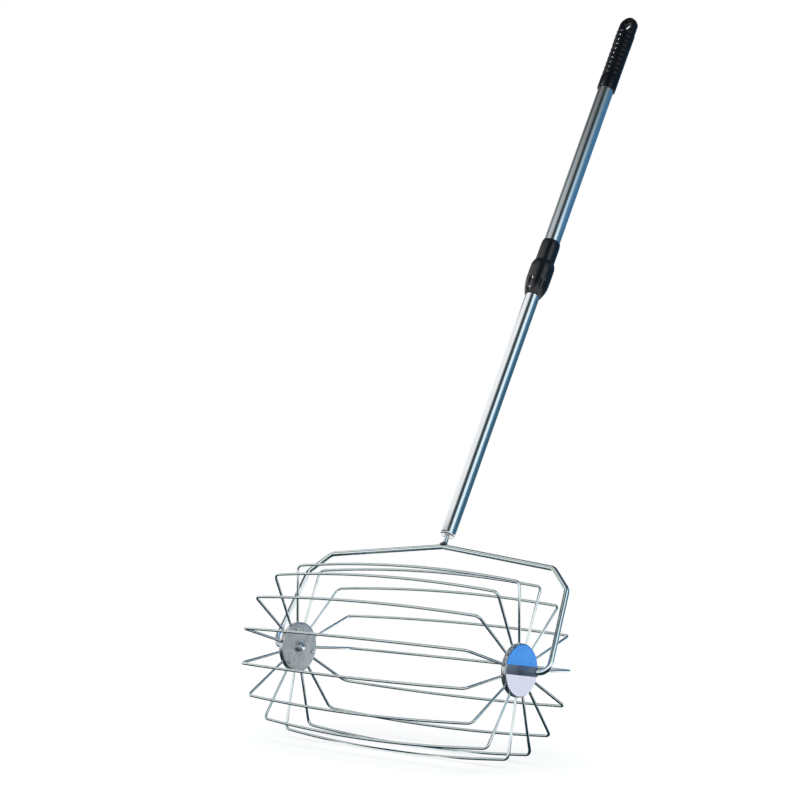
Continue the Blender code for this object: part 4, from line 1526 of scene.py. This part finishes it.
@dataclass
class Studio:
    """Floor, soft lights, reflection cards, backdrop and camera."""

    centre: Vector = Vector((0.0, 0.05, 0.55))
    camera_from_axle: Vector = Vector((1.941476, -2.294469, 0.368847))
    camera_way: Vector = Vector((-0.647440, 0.762118, -0.001215))
    camera_roll: float = math.radians(0.12)
    lens: float = 95.6
    sensor_width: float = 36.0
    floor_glow: float = 0.62
    floor_fade: Pair = (0.35, 1.5)
    world_light: float = 0.55
    dimming: Pair = (1.50, 2.00)
    glint_angle: float = -67.0
    glint_distance: float = 0.30
    glint_width: float = 0.026
    glint_colour: Colour = (190.0, 195.0, 200.0)
    cards: tuple[Card, ...] = (
        Card("card_edge_left", -178.0, -122.0, 1.30, 2.8, (0.30, 0.32, 0.32), 0.3),
        Card("card_rim_left", -122.0, -97.0, 1.45, 2.8, (0.16, 0.18, 0.18), 0.8),
        Card("card_left", -97.0, -48.0, 1.45, 2.8, (0.52, 0.55, 0.56), 0.7),
        Card("card_shade", -48.0, -32.0, 0.60, 2.8, (0.36, 0.38, 0.39), 0.7),
        Card("card_dark", -32.0, -11.0, 0.60, 2.8, (0.035, 0.045, 0.045), 0.4),
        Card("card_soft", -11.0, 8.0, 0.60, 2.8, (0.075, 0.105, 0.115)),
        Card("card_line", -26.0, -9.0, 0.38, 0.60, (0.035, 0.045, 0.045)),
        Card("card_bright_low", 8.0, 47.0, 0.60, 1.53, (0.86, 1.02, 1.10)),
        Card("card_bright_high", 8.0, 42.0, 1.53, 2.8, (0.52, 0.71, 0.86), 0.65),
        Card("card_between_low", 47.0, 68.0, 0.60, 1.53, (0.14, 0.27, 0.39)),
        Card("card_between_high", 42.0, 68.0, 1.53, 2.8, (0.12, 0.25, 0.38), 0.2),
        Card("card_blue_low", 68.0, 178.0, 0.60, 1.53, (0.045, 0.13, 0.20)),
        Card("card_blue_high", 68.0, 178.0, 1.53, 2.8, (0.06, 0.18, 0.33)),
        Card("card_stud_left", -170.0, -50.0, 0.50, 0.725, (0.04, 0.06, 0.07)),
        Card("card_low_left", -100.0, -35.0, 0.15, 0.98, (0.05, 0.08, 0.09), 0.0, 2.2),
    )

    def build(self) -> None:
        """Set up everything round the object."""
        self.floor()
        for card in self.cards:
            self.stand(card)
        self.flat_cards()
        self.glint_card("card_glint_grip", 1.045, 66.0, 0.052)
        self.glint_card("card_glint_lock", 0.628, 70.0, 0.080)
        self.lights()
        self.backdrop()
        self.camera()

    def floor(self) -> None:
        """A plain white floor, which keeps the object's shadow and fades into the backdrop."""
        clear_selection()
        bpy.ops.mesh.primitive_grid_add(x_subdivisions=8, y_subdivisions=8, size=24.0)
        floor = bpy.context.object
        floor.name = "floor"
        material, sheet = new_material("floor_white")
        away = sheet.vector_math("LENGTH", sheet.place(), out="Value")
        plain = sheet.add("ShaderNodeBsdfDiffuse", None, (0.88, 0.89, 0.90))
        glow = sheet.add("ShaderNodeEmission", None, WHITE, 1.0)
        glowing = self.floor_glow + away.ramp(*self.floor_fade) * (1 - self.floor_glow)
        share = self.seen_directly(sheet) * glowing
        sheet.surface(sheet.add("ShaderNodeMixShader", None, share, plain, glow))
        floor.data.materials.append(material)

    @staticmethod
    def seen_directly(sheet: Sheet) -> Signal:
        """1 for rays of the camera, of gloss and of glass, 0 for the rest."""
        seen, gloss, glass = (sheet.add("ShaderNodeLightPath", out=f"Is {kind} Ray")
                              for kind in ("Camera", "Glossy", "Transmission"))
        return (seen + gloss + glass).ramp(0.0, 1.0)

    def card_sheet(self, name: str, spot: Vector, turn: Matrix, size: Pair,
                   colour: Colour, dimmer: float = 0.0, one_sided: bool = False) -> None:
        """Put up one card that only gloss shows.

        Args:
            name: The card's name.
            spot: Its middle.
            turn: The turn that takes X across it, Y up it and Z to the way it faces.
            size: Its width and height.
            colour: What it sends out.
            dimmer: The share by which its upper part is dimmer.
            one_sided: Whether only the side that faces that way is lit.
        """
        clear_selection()
        bpy.ops.mesh.primitive_plane_add(size=1.0)
        card = bpy.context.object
        card.name = name
        scale = Matrix.Diagonal((*size, 1.0, 1.0))
        card.data.transform(Matrix.Translation(spot) @ turn.to_4x4() @ scale)
        material, sheet = new_material(name)
        strength = 1 - sheet.along(POLE_WAY).ramp(*self.dimming) * dimmer
        shader = sheet.add("ShaderNodeEmission", None, colour, strength)
        if one_sided:
            back = sheet.add("ShaderNodeNewGeometry", out="Backfacing")
            clear = sheet.add("ShaderNodeBsdfTransparent")
            shader = sheet.add("ShaderNodeMixShader", None, back, shader, clear)
        sheet.surface(shader)
        card.data.materials.append(material)
        for ray in ("camera", "diffuse", "transmission", "volume_scatter", "shadow"):
            setattr(card, f"visible_{ray}", False)

    def way_out(self, angle: float) -> Vector:
        """Find a way out from the pole.

        Args:
            angle: The angle round the pole, in degrees from the camera's side.

        Returns:
            The direction, square to the pole.
        """
        front = -self.camera_way
        front = (front - POLE_WAY * front.dot(POLE_WAY)).normalized()
        return Matrix.Rotation(math.radians(angle), 3, POLE_WAY) @ front

    def glint_card(self, name: str, height: float, tilt: float, length: float) -> None:
        """A small bright card close to the pole, whose lit side faces in and mostly up it.

        Args:
            name: The card's name.
            height: How far up the pole it stands, from the axle.
            tilt: How far its lit side is turned up the pole, in degrees.
            length: Its length up the pole.
        """
        out = self.way_out(self.glint_angle)
        rise = math.radians(tilt)
        facing = POLE_WAY * math.sin(rise) - out * math.cos(rise)
        across = POLE_WAY.cross(out)
        turn = turn_to(across, facing.cross(across), facing)
        spot = AXLE + POLE_WAY * height + out * self.glint_distance
        size = (self.glint_width, length)
        self.card_sheet(name, spot, turn, size, self.glint_colour, one_sided=True)

    def stand(self, card: Card) -> None:
        """Stand a card beside the pole, parallel to it.

        Args:
            card: The card's place and colour.
        """
        out = self.way_out((card.start + card.end) / 2)
        turn = turn_to(POLE_WAY.cross(out), POLE_WAY, out)
        width = 2 * card.distance * math.tan(math.radians(card.end - card.start) / 2)
        spot = AXLE + POLE_WAY * (card.low + card.high) / 2 + out * card.distance
        size = (width, card.high - card.low)
        self.card_sheet(card.name, spot, turn, size, card.colour, card.dimmer)

    def flat_cards(self) -> None:
        """The dark cards: over the pole, on the floor before the cage and behind its right."""
        lean = Matrix.Rotation(-POLE_LEAN, 3, "X")
        self.card_sheet("card_over", AXLE + POLE_WAY * 2.8, lean, (3.0, 3.0), (0.05, 0.08, 0.11))
        spot = Vector((0.0, -0.77, 0.004))
        self.card_sheet("card_floor", spot, Matrix.Identity(3), (2.3, 1.5), (0.009, 0.032, 0.040))
        way = Vector((0.647, 0.762, 0.0)).normalized()
        spot = AXLE + way * 2.2 + UP * 0.10
        turn = turn_to(UP.cross(way), UP, way)
        self.card_sheet("card_behind", spot, turn, (1.5, 0.44), (0.05, 0.12, 0.16))

    def lights(self) -> None:
        """A wide light overhead, a soft box on each side and a small hard light."""
        self.area("light_top", Vector((0.2, -0.4, 3.2)), (2.6, 2.6), 60.0)
        self.area("light_left", self.centre + Vector((-2.3, -0.8, 1.4)), (1.2, 1.8), 16.0)
        self.area("light_right", self.centre + Vector((2.2, -0.3, 1.3)), (0.5, 2.4), 12.0)
        self.area("light_spot", Vector((-1.54, 0.30, 2.31)), (0.20, 0.20), 5.0)

    def area(self, name: str, spot: Vector, size: Pair, power: float) -> None:
        """Hang one soft box that faces the object's middle and doesn't show in its gloss.

        Args:
            name: The light's name.
            spot: Its place.
            size: Its width and height.
            power: Its power, in watts.
        """
        data = bpy.data.lights.new(name, "AREA")
        data.shape = "RECTANGLE"
        data.size, data.size_y = size
        data.energy = power
        light = bpy.data.objects.new(name, data)
        light.location = spot
        light.rotation_euler = (self.centre - spot).to_track_quat("-Z", "Y").to_euler()
        light.visible_camera = False
        light.visible_glossy = False
        bpy.context.scene.collection.objects.link(light)

    def backdrop(self) -> None:
        """A white world, a little dimmer where it lights the object."""
        world = bpy.data.worlds.new("backdrop")
        bpy.context.scene.world = world
        world.use_nodes = True
        sheet = Sheet(world.node_tree)
        light = sheet.add("ShaderNodeBackground", None, (0.96, 0.98, 1.0), self.world_light)
        white = sheet.add("ShaderNodeBackground", None, WHITE, 1.0)
        mixed = sheet.add("ShaderNodeMixShader", None, self.seen_directly(sheet), light, white)
        sheet.surface(mixed, "ShaderNodeOutputWorld")

    def camera(self) -> None:
        """The camera at the photo's place and angle."""
        data = bpy.data.cameras.new("camera")
        data.lens = self.lens
        data.sensor_width = self.sensor_width
        data.clip_start = 0.05
        camera = bpy.data.objects.new("camera", data)
        camera.location = AXLE + self.camera_from_axle
        aim = self.camera_way.to_track_quat("-Z", "Y").to_matrix()
        camera.rotation_euler = (aim @ Matrix.Rotation(self.camera_roll, 3, "Z")).to_euler()
        bpy.context.scene.collection.objects.link(camera)
        bpy.context.scene.camera = camera


def corners(box: tuple[Vector, Vector]) -> list[list[float]]:
    """A box as plain lists of numbers."""
    return [[float(value) for value in corner] for corner in box]


def main() -> None:
    """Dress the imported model, part by part."""
    logging.basicConfig(level=logging.INFO, format="%(message)s")
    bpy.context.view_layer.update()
    bpy.context.scene.view_settings.view_transform = "Standard"
    for assembly in (Cage(), Hub(), Yoke(), Pole(), Lock(), Grip()):
        assembly.build()
        log.info("%s built", type(assembly).__name__)
    Studio().build()
    clear_selection()


if __name__ == "__main__":
    main()
